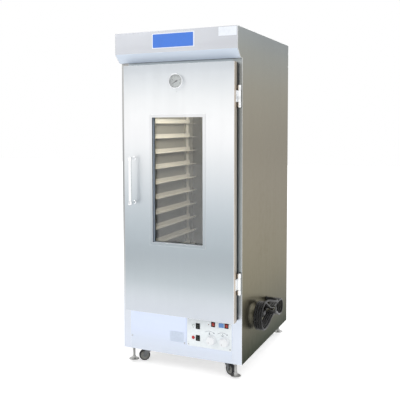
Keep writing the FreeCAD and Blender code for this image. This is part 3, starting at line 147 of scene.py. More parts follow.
# %% [markdown]
# The mains cable is one length of flexible rubber lead. It leaves the gland straight, bends
# forward along the side and then goes round and round a hank. Its line is one smooth spline: the
# lead's points are listed, and the loops come from a formula, so that the turns lie side
# by side at a steady pitch. A quadratic spline cuts inside control points on an arc by the cosine
# of half their step, which the lobe's control radius makes up for.

# %% Route of the lead and the loops
CABLE_RADIUS = 4.5 * MM
LEAD_ROUTE = [
    (20, 0, 0), (36, 0, 0), (50, -8, 0.5), (58, -22, 2), (59, -40, 5), (57, -61, 9.5),
    (54, -84, 15.5), (50.5, -107, 22), (46.2, -134, 28), (46.2, -160, 28),
]
LOOPS, PITCH, STAND = 4, 9.8, 7
OUTER_X = STAND + LOOPS * PITCH
WAIST, WAIST_STEP = (-21, -43), 9.8
FRONT_LOBE, FRONT_RADIUS = (-169, -31), 59
REAR_LOBE, REAR_RADIUS = (105, -60), 35
TAIL = [(19, -81, -35), (19, -90, -35)]
LOBE_STEPS = 7


def lobe(x, centre, radius, start):
    """Half a turn of control points at a steady x: the centre plus radius times (cos, sin), from start."""
    step = math.pi / LOBE_STEPS
    angles = start + step * (np.arange(LOBE_STEPS) + 0.5)
    reach = radius / math.cos(step / 2)
    along, rise = centre[0] + reach * np.cos(angles), centre[1] + reach * np.sin(angles)
    return np.stack([np.full(LOBE_STEPS, x), along, rise], 1)


def easing(start, end, steps=4):
    """Points between two places: x and rise change by a half cosine, so that both ends lie level."""
    share = (np.arange(steps) + 1) / (steps + 1)
    start, end = np.asarray(start, float), np.asarray(end, float)
    points = start + (end - start) * ((1 - np.cos(np.pi * share)) / 2)[:, None]
    points[:, 1] = start[1] + (end[1] - start[1]) * share
    return points


def loop_points(number):
    """One loop: round the front lobe, low through the waist, round the rear lobe and high back."""
    x = OUTER_X - number * PITCH
    inner, last = x - PITCH, number == LOOPS - 1
    low = (x, WAIST[0], WAIST[1] - WAIST_STEP)
    high = (inner, WAIST[0], WAIST[1] + (0 if last else WAIST_STEP))
    front_top = (inner, FRONT_LOBE[0], FRONT_LOBE[1] + FRONT_RADIUS)
    rear_low = (inner, REAR_LOBE[0], REAR_LOBE[1] - REAR_RADIUS)
    rear_top = (inner, REAR_LOBE[0], REAR_LOBE[1] + REAR_RADIUS)
    parts = [
        lobe(x, FRONT_LOBE, FRONT_RADIUS, math.pi / 2),
        easing((x, FRONT_LOBE[0], FRONT_LOBE[1] - FRONT_RADIUS), low), [low], easing(low, rear_low),
        lobe(inner, REAR_LOBE, REAR_RADIUS, -math.pi / 2),
        easing(rear_top, high), [high], easing(high, TAIL[0] if last else front_top),
    ]
    return np.concatenate([np.asarray(part, float) for part in parts])


gland_low, gland_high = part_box("cord_gland")
gland_spot = np.array([SIDE_X, (gland_low.y + gland_high.y) / 2, (gland_low.z + gland_high.z) / 2])
route = np.concatenate([LEAD_ROUTE] + [loop_points(number) for number in range(LOOPS)] + [TAIL])
route = gland_spot + route * MM
print(len(route), "control points")

# %% Cable as one spline
cable_curve = bpy.data.curves.new("mains_cable", "CURVE")
cable_curve.dimensions = "3D"
cable_curve.bevel_depth = CABLE_RADIUS
cable_curve.bevel_resolution = 5
cable_curve.resolution_u = 6
spline = cable_curve.splines.new("NURBS")
spline.points.add(len(route) - 1)
spline.points.foreach_set("co", np.hstack([route, np.ones((len(route), 1))]).ravel())
spline.order_u = 3
spline.use_endpoint_u = True
mains_cable = bpy.data.objects.new("mains_cable", cable_curve)
bpy.context.scene.collection.objects.link(mains_cable)
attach(mains_cable, "cabinet")
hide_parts("cord_lead", "cord_hank")
print("cable leaves at", [round(value, 4) for value in route[0]])

# %% [markdown]
# Finishes are node trees. Three small helpers keep them readable: one adds a node and fills its
# inputs, one does sums, and one starts a material with its Principled shader. A number that is
# the same everywhere goes straight on the shader's own socket.

# %% Node helpers
def add_node(tree, kind, settings=None, **inputs):
    """A new node: settings are its properties; each input takes a socket as a link or else a value."""
    made = tree.nodes.new(kind)
    for key, value in (settings or {}).items():
        setattr(made, key, value)
    for key, value in inputs.items():
        fill(tree, made.inputs[key.replace("_", " ")], value)
    return made


def fill(tree, socket, value):
    """Links a socket to another, or sets its value."""
    if isinstance(value, bpy.types.NodeSocket):
        tree.links.new(value, socket)
    else:
        socket.default_value = value


def sum_of(tree, operation, *values):
    """The output of a Math node fed with these values."""
    made = tree.nodes.new("ShaderNodeMath")
    made.operation = operation
    for socket, value in zip(made.inputs, values):
        fill(tree, socket, value)
    return made.outputs[0]


def group_of(name, inputs, outputs):
    """An empty shader group: each input is (name, socket kind, default), each output (name, kind)."""
    tree = bpy.data.node_groups.new(name, "ShaderNodeTree")
    for label, kind, default in inputs:
        tree.interface.new_socket(label, in_out="INPUT", socket_type=kind).default_value = default
    for label, kind in outputs:
        tree.interface.new_socket(label, in_out="OUTPUT", socket_type=kind)
    return tree, tree.nodes.new("NodeGroupInput").outputs, tree.nodes.new("NodeGroupOutput").inputs


def use_group(tree, group, **inputs):
    """Places a group in a material with its own values."""
    return add_node(tree, "ShaderNodeGroup", {"node_tree": group}, **inputs).outputs


def new_finish(name, colour=(0.8, 0.8, 0.8), **shader):
    """A material whose Principled shader has these socket values; returns it, its tree and the shader."""
    made = bpy.data.materials.new(name)
    made.use_nodes = True
    made.diffuse_color = (*colour, 1)
    made.node_tree.nodes.clear()
    tree = made.node_tree
    principled = add_node(tree, "ShaderNodeBsdfPrincipled", None, Base_Color=(*colour, 1), **shader)
    output = tree.nodes.new("ShaderNodeOutputMaterial")
    tree.links.new(principled.outputs[0], output.inputs[0])
    return made, tree, principled


FLOAT, COLOUR, VECTOR = "NodeSocketFloat", "NodeSocketColor", "NodeSocketVector"

# %% [markdown]
# Rolled and brushed sheet has two marks that show up close: fine scratches that all run one way,
# and broad faint streaks where the rolls pressed harder. Both are noise stretched along the grain,
# so one group serves every steel finish, with the stretch as its input.

# %% Brushed grain
def brushed_grain():
    """Noise on Object coordinates, stretched: fine lines for roughness and bump, broad ones for shade."""
    tree, given, put = group_of(
        "brushed_grain", [("Stretch", VECTOR, (900, 900, 9)), ("Depth", FLOAT, 0.05)],
        [("Shade", FLOAT), ("Gloss", FLOAT), ("Height", FLOAT)])
    place = add_node(tree, "ShaderNodeTexCoord").outputs["Object"]
    turned = add_node(tree, "ShaderNodeMapping", None, Vector=place, Scale=given["Stretch"]).outputs[0]
    fine = add_node(tree, "ShaderNodeTexNoise", None, Vector=turned, Scale=1.0, Detail=3.0).outputs[0]
    wide = add_node(tree, "ShaderNodeTexNoise", None, Vector=turned, Scale=0.04, Detail=2.0).outputs[0]
    soft = sum_of(tree, "MULTIPLY", sum_of(tree, "SUBTRACT", wide, 0.5), given["Depth"])
    sharp = sum_of(tree, "MULTIPLY", sum_of(tree, "SUBTRACT", fine, 0.5), given["Depth"])
    both = sum_of(tree, "ADD", soft, sum_of(tree, "MULTIPLY", sharp, 0.6))
    fill(tree, put["Shade"], sum_of(tree, "ADD", both, 1.0))
    fill(tree, put["Gloss"], sum_of(tree, "MULTIPLY", both, 2.0))
    fill(tree, put["Height"], fine)
    return tree


# %% [markdown]
# Nothing that people touch is evenly clean. A second group gives a mask of wiped and handled
# patches, large and soft, which each finish uses to roughen and darken itself a little.

# %% Handling marks
def handling_marks():
    """A soft mask from two noises of different size, multiplied and spread between two limits."""
    tree, given, put = group_of(
        "handling_marks", [("Size", FLOAT, 6.0), ("Amount", FLOAT, 1.0)], [("Mask", FLOAT)])
    place = add_node(tree, "ShaderNodeTexCoord").outputs["Object"]
    broad = add_node(tree, "ShaderNodeTexNoise", None, Vector=place, Scale=given["Size"], Detail=4.0).outputs[0]
    closer = sum_of(tree, "MULTIPLY", given["Size"], 7.0)
    small = add_node(tree, "ShaderNodeTexNoise", None, Vector=place, Scale=closer, Detail=5.0).outputs[0]
    both = sum_of(tree, "MULTIPLY", broad, small)
    spread = add_node(tree, "ShaderNodeMapRange", None, Value=both, From_Min=0.2, From_Max=0.42)
    fill(tree, put["Mask"], sum_of(tree, "MULTIPLY", spread.outputs[0], given["Amount"]))
    return tree


GRAIN, MARKS = brushed_grain(), handling_marks()
print("groups", GRAIN.name, MARKS.name)

# %% [markdown]
# The steel finish takes a colour, a stretch for its grain and how rough it is. Sheets that face
# different ways mirror different parts of the room, and that light and shade is painted into their
# colour: the front, the sides and the chamber each get their own painted tone. The door's colour also
# carries painted reflections, soft bands from top to bottom as a long satin sheet mirrors the room:
# a colour ramp over its height holds the few tones, and the shade of the grain multiplies it.

# %% Steel
UPRIGHT_GRAIN, LEVEL_GRAIN = (900, 900, 9), (9, 900, 900)


def tone_up(tree, tones, low, high, axis="Z"):
    """A colour over height or depth: each tone is (share of the way from low to high, colour)."""
    place = add_node(tree, "ShaderNodeTexCoord").outputs["Object"]
    height = add_node(tree, "ShaderNodeSeparateXYZ", None, Vector=place).outputs[axis]
    share = add_node(tree, "ShaderNodeMapRange", None, Value=height, From_Min=low, From_Max=high).outputs[0]
    ramp = add_node(tree, "ShaderNodeValToRGB", None, Fac=share)
    ramp.color_ramp.interpolation = "B_SPLINE"
    while len(ramp.color_ramp.elements) < len(tones):
        ramp.color_ramp.elements.new(0.5)
    for element, (position, colour) in zip(ramp.color_ramp.elements, tones):
        element.position = position
        element.color = (*colour, 1)
    return ramp.outputs[0]


def steel(name, colour, grain=UPRIGHT_GRAIN, roughness=0.32, depth=0.05, tones=None, span=None,
          axis="Z", metallic=1.0, edge_tint=1.0):
    """Brushed or rolled sheet: colour times grain, roughness from grain and handling, a fine bump.
    The edge tint lowers what a metal mirrors at a shallow angle; on the sides it keeps their painted shade from turning
    white."""
    tint = (edge_tint, edge_tint, edge_tint, 1)
    made, tree, shader = new_finish(name, colour, Metallic=metallic, Specular_Tint=tint)
    lines = use_group(tree, GRAIN, Stretch=grain, Depth=depth)
    mask = use_group(tree, MARKS, Size=5.0, Amount=0.06)["Mask"]
    base = tone_up(tree, tones, *span, axis) if tones else (*colour, 1)
    dimmed = add_node(tree, "ShaderNodeVectorMath", {"operation": "SCALE"}, Scale=lines["Shade"])
    fill(tree, dimmed.inputs[0], base if tones else colour)
    fill(tree, shader.inputs["Base Color"], dimmed.outputs[0])
    rough = sum_of(tree, "ADD", sum_of(tree, "ADD", roughness, mask), lines["Gloss"])
    fill(tree, shader.inputs["Roughness"], rough)
    bump = add_node(tree, "ShaderNodeBump", None, Strength=0.05, Distance=0.0002, Height=lines["Height"])
    fill(tree, shader.inputs["Normal"], bump.outputs[0])
    return made


# %% [markdown]
# Moulded plastic, rubber and paint differ in colour, gloss and in how coarse their skin is. One
# function makes them all: a fine noise gives the bump, and the handling mask dulls the gloss.

# %% Plastic, rubber and paint
def moulded(name, colour, roughness=0.4, skin=1500.0, bump=0.1, coat=0.0, shift=0.08, **shader_values):
    """Plastic or rubber: colour drifts by the handling mask, skin is fine noise used as a bump."""
    made, tree, shader = new_finish(name, colour, Coat_Weight=coat, **shader_values)
    mask = use_group(tree, MARKS, Size=14.0, Amount=1.0)["Mask"]
    darker = tuple(channel * (1 - shift) for channel in colour)
    mixed = add_node(tree, "ShaderNodeMix", {"data_type": "RGBA"})
    for socket, value in ((mixed.inputs[0], mask), (mixed.inputs[6], (*colour, 1)), (mixed.inputs[7], (*darker, 1))):
        fill(tree, socket, value)
    fill(tree, shader.inputs["Base Color"], mixed.outputs[2])
    fill(tree, shader.inputs["Roughness"], sum_of(tree, "MULTIPLY_ADD", mask, 0.1, roughness))
    place = add_node(tree, "ShaderNodeTexCoord").outputs["Object"]
    grit = add_node(tree, "ShaderNodeTexNoise", None, Vector=place, Scale=skin, Detail=2.0).outputs[0]
    relief = add_node(tree, "ShaderNodeBump", None, Strength=bump, Distance=0.0003, Height=grit)
    fill(tree, shader.inputs["Normal"], relief.outputs[0])
    return made


def glass(name, colour, roughness=0.02):
    """Clear sheet: plain transmission, with the handling mask as a faint smear in its gloss."""
    made, tree, shader = new_finish(name, colour, Transmission_Weight=1.0, IOR=1.45)
    mask = use_group(tree, MARKS, Size=3.0, Amount=0.02)["Mask"]
    fill(tree, shader.inputs["Roughness"], sum_of(tree, "ADD", mask, roughness))
    return made


# %% Finishes of this cabinet
# Painted reflections: light and dark bands over the door's height, standing in for what its satin sheet mirrors.
DOOR_PAINTED_REFLECTIONS = [
    (0.0, (0.54, 0.57, 0.62)), (0.07, (0.53, 0.565, 0.60)), (0.13, (0.41, 0.455, 0.48)), (0.22, (0.33, 0.365, 0.39)),
    (0.30, (0.345, 0.39, 0.42)), (0.46, (0.485, 0.53, 0.565)), (0.62, (0.73, 0.75, 0.765)), (0.74, (0.86, 0.86, 0.87)),
    (0.86, (0.82, 0.835, 0.84)), (0.96, (0.60, 0.63, 0.66)), (1.0, (0.53, 0.56, 0.59)),
]
# Painted shade and reflection on the side panels: dark and warm, lightest near the top and nearly black at the floor,
# for the dark room they mirror.
SIDE_PAINTED_SHADE = [
    (0.0, (0.03, 0.04, 0.02)), (0.03, (0.06, 0.07, 0.045)), (0.10, (0.155, 0.145, 0.105)), (0.23, (0.22, 0.198, 0.13)),
    (0.46, (0.29, 0.26, 0.20)), (0.64, (0.325, 0.295, 0.235)), (0.82, (0.395, 0.37, 0.30)), (0.94, (0.37, 0.385, 0.36)),
    (1.0, (0.33, 0.355, 0.365)),
]
# Painted light on the front strips of the side panels: reflection bands over the height on the left; on the right,
# painted shade from the door above the base and a bright painted reflection at the base.
LEFT_FLANGE_LIGHT_BANDS = [
    (0.0, (0.62, 0.66, 0.76)), (0.16, (0.60, 0.63, 0.66)), (0.28, (0.50, 0.50, 0.49)), (0.44, (0.31, 0.315, 0.32)),
    (0.62, (0.32, 0.32, 0.325)), (0.80, (0.43, 0.43, 0.425)), (1.0, (0.47, 0.47, 0.46)),
]
RIGHT_FLANGE_SHADE_BANDS = [
    (0.0, (0.62, 0.66, 0.73)), (0.14, (0.62, 0.66, 0.74)), (0.16, (0.38, 0.44, 0.48)), (0.5, (0.42, 0.48, 0.51)),
    (0.75, (0.39, 0.43, 0.44)), (1.0, (0.40, 0.42, 0.42)),
]
cabinet_span = (BASE_Z, TOP_Z)
door_low, door_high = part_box("door_skin")[0].z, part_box("door_skin")[1].z
door_steel = steel("door_steel", (0.75, 0.77, 0.8), tones=DOOR_PAINTED_REFLECTIONS, span=(door_low, door_high))
side_painted_shade_steel = steel("side_painted_shade_steel", (0.25, 0.23, 0.2), tones=SIDE_PAINTED_SHADE, span=cabinet_span, edge_tint=0.55)
left_flange_painted_light = steel("left_flange_painted_light", (0.6, 0.6, 0.6), tones=LEFT_FLANGE_LIGHT_BANDS, span=cabinet_span)
right_flange_painted_shade = steel("right_flange_painted_shade", (0.4, 0.4, 0.4), tones=RIGHT_FLANGE_SHADE_BANDS, span=cabinet_span)
# Painted reflection: the door's right-hand edge faces get a warm tone for the room they mirror.
door_side_painted_reflection = steel("door_side_painted_reflection", (0.50, 0.43, 0.35))
hood_steel = steel("hood_steel", (0.55, 0.565, 0.60), grain=LEVEL_GRAIN)
# Painted light: the hood's forward-down slant gets a bright, bluish colour for the light it catches from below.
slant_painted_light = steel("slant_painted_light", (0.75, 0.83, 0.94), grain=LEVEL_GRAIN, roughness=0.6, metallic=0.2)
# Painted reflection: the base front and access cover get a bluish-white tone, slightly darker towards the bottom.
FRONT_REFLECTION_BANDS = [(0.0, (0.60, 0.64, 0.71)), (0.25, (0.60, 0.65, 0.74)), (0.5, (0.61, 0.67, 0.81)), (1.0, (0.61, 0.675, 0.83))]
front_low, front_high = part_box("base_front_panel")
front_painted_reflection = steel("front_painted_reflection", (0.61, 0.675, 0.83), grain=LEVEL_GRAIN, tones=FRONT_REFLECTION_BANDS,
                    span=(front_low.z, front_high.z))
# Painted shade: the strip of front frame beside the door is dark, as it lies in the door's shadow.
frame_painted_shade = steel("frame_painted_shade", (0.42, 0.47, 0.5))
# The window trim carries the door's painted reflection bands, a little darker.
TRIM_PAINTED_REFLECTIONS = [(share, tuple(0.92 * channel for channel in tone)) for share, tone in DOOR_PAINTED_REFLECTIONS]
trim_steel = steel("trim_steel", (0.62, 0.65, 0.68), roughness=0.3, tones=TRIM_PAINTED_REFLECTIONS, span=(door_low, door_high))
# Painted highlight for the bevels of the door, the window trim and the side panels.
edge_painted_highlight = steel("edge_painted_highlight", (0.90, 0.90, 0.90), roughness=0.2)
# Painted light and shade on the window reveal by facing: faces looking right are slate with a dark band at the front,
# faces looking down or left are dark, and faces looking up are light.
BEAD, SLATE = (0.02, 0.024, 0.028), (0.42, 0.50, 0.60)
reveal_light_bands = [(0.0, BEAD), (0.26, BEAD), (0.38, SLATE), (1.0, SLATE)]
trim_low, trim_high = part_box("window_trim")
reveal_side_painted_light = steel("reveal_side_painted_light", SLATE, roughness=0.5, metallic=0.2, tones=reveal_light_bands,
                    span=(trim_low.y, trim_high.y), axis="Y")
reveal_bottom_painted_light = steel("reveal_bottom_painted_light", (0.62, 0.67, 0.72), roughness=0.5, metallic=0.3)
spacer_steel = steel("spacer_steel", SLATE, roughness=0.5, metallic=0.2)
reveal_top_painted_shade = steel("reveal_top_painted_shade", (0.28, 0.325, 0.325), roughness=0.3)
# Painted shade in the chamber: its walls darken towards the bottom, and the rear wall, which faces the door, is darker
# still.
WALL_SHADE_BANDS = [(0.0, (0.15, 0.135, 0.11)), (0.3, (0.24, 0.215, 0.17)), (0.6, (0.36, 0.325, 0.25)), (1.0, (0.38, 0.345, 0.27))]
REAR_WALL_SHADE_BANDS = [(share, tuple(0.4 * channel for channel in tone)) for share, tone in WALL_SHADE_BANDS]
# Painted shade on the cream rails: lighter near the top of the chamber, darker towards its bottom.
RAIL_SHADE_BANDS = [(0.0, (0.55, 0.50, 0.41)), (0.5, (0.70, 0.64, 0.53)), (1.0, (0.86, 0.80, 0.67))]
chamber_span = (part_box("chamber_liner")[0].z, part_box("chamber_liner")[1].z)
inner_steel = steel("inner_steel", (0.36, 0.33, 0.25), roughness=0.45, metallic=0.5, tones=WALL_SHADE_BANDS, span=chamber_span)
rear_wall_painted_shade = steel("rear_wall_painted_shade", (0.13, 0.12, 0.1), roughness=0.45, metallic=0.5, tones=REAR_WALL_SHADE_BANDS,
                        span=chamber_span)
rail_steel = steel("rail_steel", (0.70, 0.64, 0.53), grain=LEVEL_GRAIN, roughness=0.45, metallic=0.4, tones=RAIL_SHADE_BANDS,
                   span=chamber_span)
plain_steel = steel("plain_steel", (0.5, 0.5, 0.5), roughness=0.4)
chrome = steel("chrome", (0.82, 0.83, 0.84), roughness=0.1, depth=0.01)
# Painted shade: the hinge pads are dark for the shadow round the bright hinge.
hinge_pad_painted_shade = steel("hinge_pad_painted_shade", (0.16, 0.16, 0.14), roughness=0.35)
screw_steel = steel("screw_steel", (0.62, 0.63, 0.64), roughness=0.25)
foot_steel = steel("foot_steel", (0.5, 0.5, 0.49), roughness=0.35)
fork_steel = steel("fork_steel", (0.16, 0.165, 0.17), roughness=0.45)
heater_steel = steel("heater_steel", (0.24, 0.21, 0.18), roughness=0.5)
white_plate = moulded("white_plate", (0.92, 0.97, 0.99), 0.35)
black_plastic = moulded("black_plastic", (0.004, 0.006, 0.006), 0.3, Specular_IOR_Level=0.25)
knob_plastic = moulded("knob_plastic", (0.90, 0.92, 0.94), 0.25, shift=0.04)
red_plastic = moulded("red_plastic", (0.36, 0.012, 0.012), 0.22)
lamp_red = moulded("lamp_red", (0.5, 0.02, 0.025), 0.2)
lamp_blue = moulded("lamp_blue", (0.16, 0.34, 0.72), 0.25)
gasket_rubber = moulded("gasket_rubber", (0.009, 0.009, 0.010), 0.6, Specular_IOR_Level=0.2)
cable_rubber = moulded("cable_rubber", (0.007, 0.007, 0.008), 0.34, skin=900.0, Specular_IOR_Level=0.3)
tread_rubber = moulded("tread_rubber", (0.035, 0.035, 0.038), 0.7, skin=700.0, bump=0.25)
wool = moulded("wool", (0.66, 0.58, 0.36), 0.95, skin=260.0, bump=0.9)
case_plastic = moulded("case_plastic", (0.25, 0.25, 0.23), 0.5)
dial_paint = moulded("dial_paint", (0.86, 0.88, 0.88), 0.5, shift=0.03)
needle_paint = moulded("needle_paint", (0.02, 0.02, 0.02), 0.4)
pane_glass = glass("pane_glass", (0.97, 0.985, 0.98))
lens_glass = glass("lens_glass", (0.97, 0.98, 0.98))
print(len(bpy.data.materials), "materials")

# %% [markdown]
# Real sheet metal has no sharp edges: bends have a radius and cut edges are broken. A softened
# copy of a solid is welded, its flat faces are made whole again, and a bevel rounds what is left.
# The copy then stands for the node, which stays as it was.

# %% Softened copies
def softened(node, body, finish, slot, width, segments=2, angle=30, edge=None):
    """A copy of a node's triangles, welded and cleaned, with a live bevel on edges over an angle.
    An edge finish, if given, goes on the bevel's own faces as a painted highlight along the bend."""
    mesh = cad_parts[node].data
    points = np.empty(len(mesh.vertices) * 3, np.float32)
    mesh.vertices.foreach_get("co", points)
    corners_of = np.empty(len(mesh.loops), np.int32)
    mesh.loops.foreach_get("vertex_index", corners_of)
    made = piece_from(f"{node}_finished", points, corners_of.reshape(-1, 3), finish, weld=2e-6)
    shape = bmesh.new()
    shape.from_mesh(made.data)
    bmesh.ops.dissolve_limit(shape, angle_limit=math.radians(1), verts=shape.verts, edges=shape.edges)
    shape.to_mesh(made.data)
    shape.free()
    bevel = made.modifiers.new("broken_edges", "BEVEL")
    bevel.width, bevel.segments, bevel.angle_limit = width, segments, math.radians(angle)
    bevel.use_clamp_overlap = True
    bevel.harden_normals = True
    if edge:
        made.data.materials.append(edge)
        bevel.material = len(made.data.materials) - 1
    return dressed(made, body, slot, node)


def dressed(made, body, slot, *nodes):
    """Hangs a piece on its body and hides the nodes that it stands for; the slot is not used."""
    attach(made, body)
    if nodes:
        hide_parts(*nodes)
    return made


def facing_finish(made, direction, finish, limit=0.9):
    """Gives a second finish to the faces whose normal's dot product with a direction is over the limit."""
    polygons = made.data.polygons
    made.data.materials.append(finish)
    normals = np.empty(len(polygons) * 3, np.float32)
    polygons.foreach_get("normal", normals)
    index = np.empty(len(polygons), np.int32)
    polygons.foreach_get("material_index", index)
    chosen = normals.reshape(-1, 3) @ np.asarray(direction, np.float32) > limit
    index[chosen] = len(made.data.materials) - 1
    polygons.foreach_set("material_index", index)


SHEETS = [
    ("right_side_panel", "cabinet", side_painted_shade_steel, "stainless", 0.6), ("left_side_panel", "cabinet", side_painted_shade_steel, "stainless", 0.6),
    ("top_panel", "cabinet", plain_steel, "stainless", 0.5), ("back_panel", "cabinet", plain_steel, "stainless", 0.5),
    ("hood_front", "cabinet", hood_steel, "stainless", 0.7), ("front_frame", "cabinet", frame_painted_shade, "stainless", 0.5),
    ("base_front_panel", "cabinet", front_painted_reflection, "stainless", 0.4), ("access_cover", "cabinet", front_painted_reflection, "stainless", 0.6),
    ("control_plate", "cabinet", white_plate, "white_plate", 0.5), ("door_skin", "door", door_steel, "stainless", 1.1),
    ("door_inner_panel", "door", inner_steel, "stainless", 0.5), ("window_trim", "door", trim_steel, "stainless", 0.5),
    ("chamber_liner", "cabinet", inner_steel, "liner_steel", 0.4), ("water_pan", "cabinet", inner_steel, "stainless", 0.4),
    ("left_tray_rails", "cabinet", rail_steel, "rail_steel", 0.4), ("right_tray_rails", "cabinet", rail_steel, "rail_steel", 0.4),
    ("rack_uprights", "cabinet", rail_steel, "rail_steel", 0.4),
    ("rocker_frames", "cabinet", black_plastic, "black_plastic", 0.5),
]
# Second finishes for faces that look one way: lit and shaded copies that paint light and shade by facing.
LIT_AND_SHADED_FACINGS = {
    "left_side_panel": [((0, -1, 0), left_flange_painted_light)], "right_side_panel": [((0, -1, 0), right_flange_painted_shade)],
    "hood_front": [((0, -0.67, -0.74), slant_painted_light)], "door_skin": [((1, 0, 0), door_side_painted_reflection)],
    "chamber_liner": [((0, -1, 0), rear_wall_painted_shade)],
    "window_trim": [((1, 0, 0), reveal_side_painted_light), ((0, 0, -1), reveal_top_painted_shade), ((-1, 0, 0), reveal_top_painted_shade),
                    ((0, 0, 1), reveal_bottom_painted_light)],
    "rack_uprights": [((0, -1, 0), inner_steel)],
}
# These sheets get a painted highlight on their bevels.
PAINTED_HIGHLIGHT_EDGES = ("door_skin", "window_trim", "right_side_panel", "left_side_panel")
for node, body, finish, slot, width in SHEETS:
    edge = edge_painted_highlight if node in PAINTED_HIGHLIGHT_EDGES else None
    sheet = softened(node, body, finish, slot, width * MM, edge=edge)
    for direction, second in LIT_AND_SHADED_FACINGS.get(node, []):
        facing_finish(sheet, direction, second)
print(len(SHEETS), "softened copies")

# %% Finishes of the nodes that stay
STAYING = {
    "insulation": wool, "door_insulation": wool, "base_chassis": plain_steel, "panel_screws": screw_steel,
    "heating_elements": heater_steel, "thermostats": case_plastic, "caster_tops": foot_steel,
    "hinge_pins": chrome, "door_gasket": gasket_rubber, "pane_spacer": spacer_steel, "window_panes": pane_glass,
    "door_handle": chrome, "gauge_case": chrome, "gauge_dial": dial_paint, "gauge_lens": lens_glass,
    "gauge_pointer": needle_paint, "light_rocker": black_plastic, "power_rocker": black_plastic,
    "heat_rocker": red_plastic, "humidity_rocker": red_plastic, "temperature_knob": knob_plastic,
    "humidity_knob": knob_plastic, "indicator_lamps": lamp_red, "cord_gland": cable_rubber,
    "cord_tie": black_plastic, "power_plug": cable_rubber,
}
for corner_name in ("front_left", "front_right", "rear_left", "rear_right"):
    STAYING[f"{corner_name}_caster_fork"] = fork_steel
    STAYING[f"{corner_name}_caster_wheel"] = tread_rubber
    STAYING[f"{corner_name}_levelling_foot"] = foot_steel
for node, finish in STAYING.items():
    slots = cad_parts[node].data.materials
    slots.clear()
    slots.append(finish)
mains_cable.data.materials.append(cable_rubber)
print(len(STAYING), "nodes keep their mesh")

# %% [markdown]
# The stage is a pale floor under a white world. The camera, and what is mirrored or seen through
# glass, gets plain white; the floor adds a little of its own light for them, so it is as white as
# the world where nothing shades it, and it still shows the soft shadow under the cabinet.

# %% Floor and world
FLOOR_REACH = 14.0
FLOOR_GLOW = 0.5
AMBIENT = 0.95


def seen_directly(tree):
    """1 for camera, mirror and glass rays, 0 for the rays that carry light between surfaces."""
    path = add_node(tree, "ShaderNodeLightPath").outputs
    shiny = sum_of(tree, "MAXIMUM", path["Is Glossy Ray"], path["Is Transmission Ray"])
    return sum_of(tree, "MAXIMUM", path["Is Camera Ray"], shiny)


def pale_floor():
    """A large square under the object whose paint glows a little for rays that see it directly."""
    side = np.array([(-1, -1, 0), (1, -1, 0), (1, 1, 0), (-1, 1, 0)]) * FLOOR_REACH
    made, tree, shader = new_finish("floor_paint", (0.8, 0.8, 0.8), Roughness=0.9)
    fill(tree, shader.inputs["Emission Color"], (1, 1, 1, 1))
    fill(tree, shader.inputs["Emission Strength"], sum_of(tree, "MULTIPLY", seen_directly(tree), FLOOR_GLOW))
    floor = piece_from("floor", side, [(0, 1, 2, 3)], made)
    return floor


def white_world():
    """A world that is white to look at and softer as a light."""
    world = bpy.data.worlds.new("studio")
    world.use_nodes = True
    tree = world.node_tree
    background = tree.nodes["Background"]
    strength = add_node(tree, "ShaderNodeMapRange", None, Value=seen_directly(tree), To_Min=AMBIENT, To_Max=1.0)
    fill(tree, background.inputs["Color"], (1, 1, 1, 1))
    fill(tree, background.inputs["Strength"], strength.outputs[0])
    bpy.context.scene.world = world


pale_floor()
white_world()
bpy.context.scene.view_settings.view_transform = "Standard"

# %% Lamps
MIDDLE = (0, 0, (BASE_Z + TOP_Z) / 2)
CHAMBER_LOW, CHAMBER_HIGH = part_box("chamber_liner")
LAMPS = [
    ("key_lamp", (-2.2, -3.2, 3.4), MIDDLE, 2.2, 32), ("fill_lamp", (3.4, -2.4, 2.2), MIDDLE, 1.8, 12),
    ("rear_lamp", (1.5, 3.2, 3.2), MIDDLE, 2.0, 25),
    ("chamber_lamp", (CHAMBER_HIGH.x - 0.06, -0.03, 1.16), (CHAMBER_LOW.x, 0.0, 0.85), 0.5, 3.0, 0.25),
]


def softbox(name, place, target, width, watts, height=None):
    """A square or upright lamp that faces a target and isn't itself seen, directly or through glass."""
    lamp = bpy.data.lights.new(name, "AREA")
    lamp.shape = "RECTANGLE"
    lamp.size, lamp.size_y, lamp.energy = width, height or width, watts
    made = bpy.data.objects.new(name, lamp)
    bpy.context.scene.collection.objects.link(made)
    made.visible_camera = made.visible_transmission = False
    towards = Vector(target) - Vector(place)
    made.matrix_world = Matrix.Translation(place) @ towards.to_track_quat("-Z", "Y").to_matrix().to_4x4()
    return made


for lamp_row in LAMPS:
    softbox(*lamp_row)
print(len(LAMPS), "lamps")

# %% [markdown]
# Most fittings are turned or stamped, so two shapes cover them. A turned piece is a profile spun
# about an axis. A stamped one is a stack of rounded rectangles, each a little smaller than the
# one below it near the edges. Both take their corners from one helper that eases a profile.

# %% Eased profiles
FACINGS = {
    "front": ((1, 0, 0), (0, 0, 1), (0, -1, 0)), "right": ((0, 1, 0), (0, 0, 1), (1, 0, 0)),
    "left": ((0, -1, 0), (0, 0, 1), (-1, 0, 0)), "back": ((-1, 0, 0), (0, 0, 1), (0, 1, 0)),
    "up": ((1, 0, 0), (0, 1, 0), (0, 0, 1)), "down": ((-1, 0, 0), (0, 1, 0), (0, 0, -1)),
}


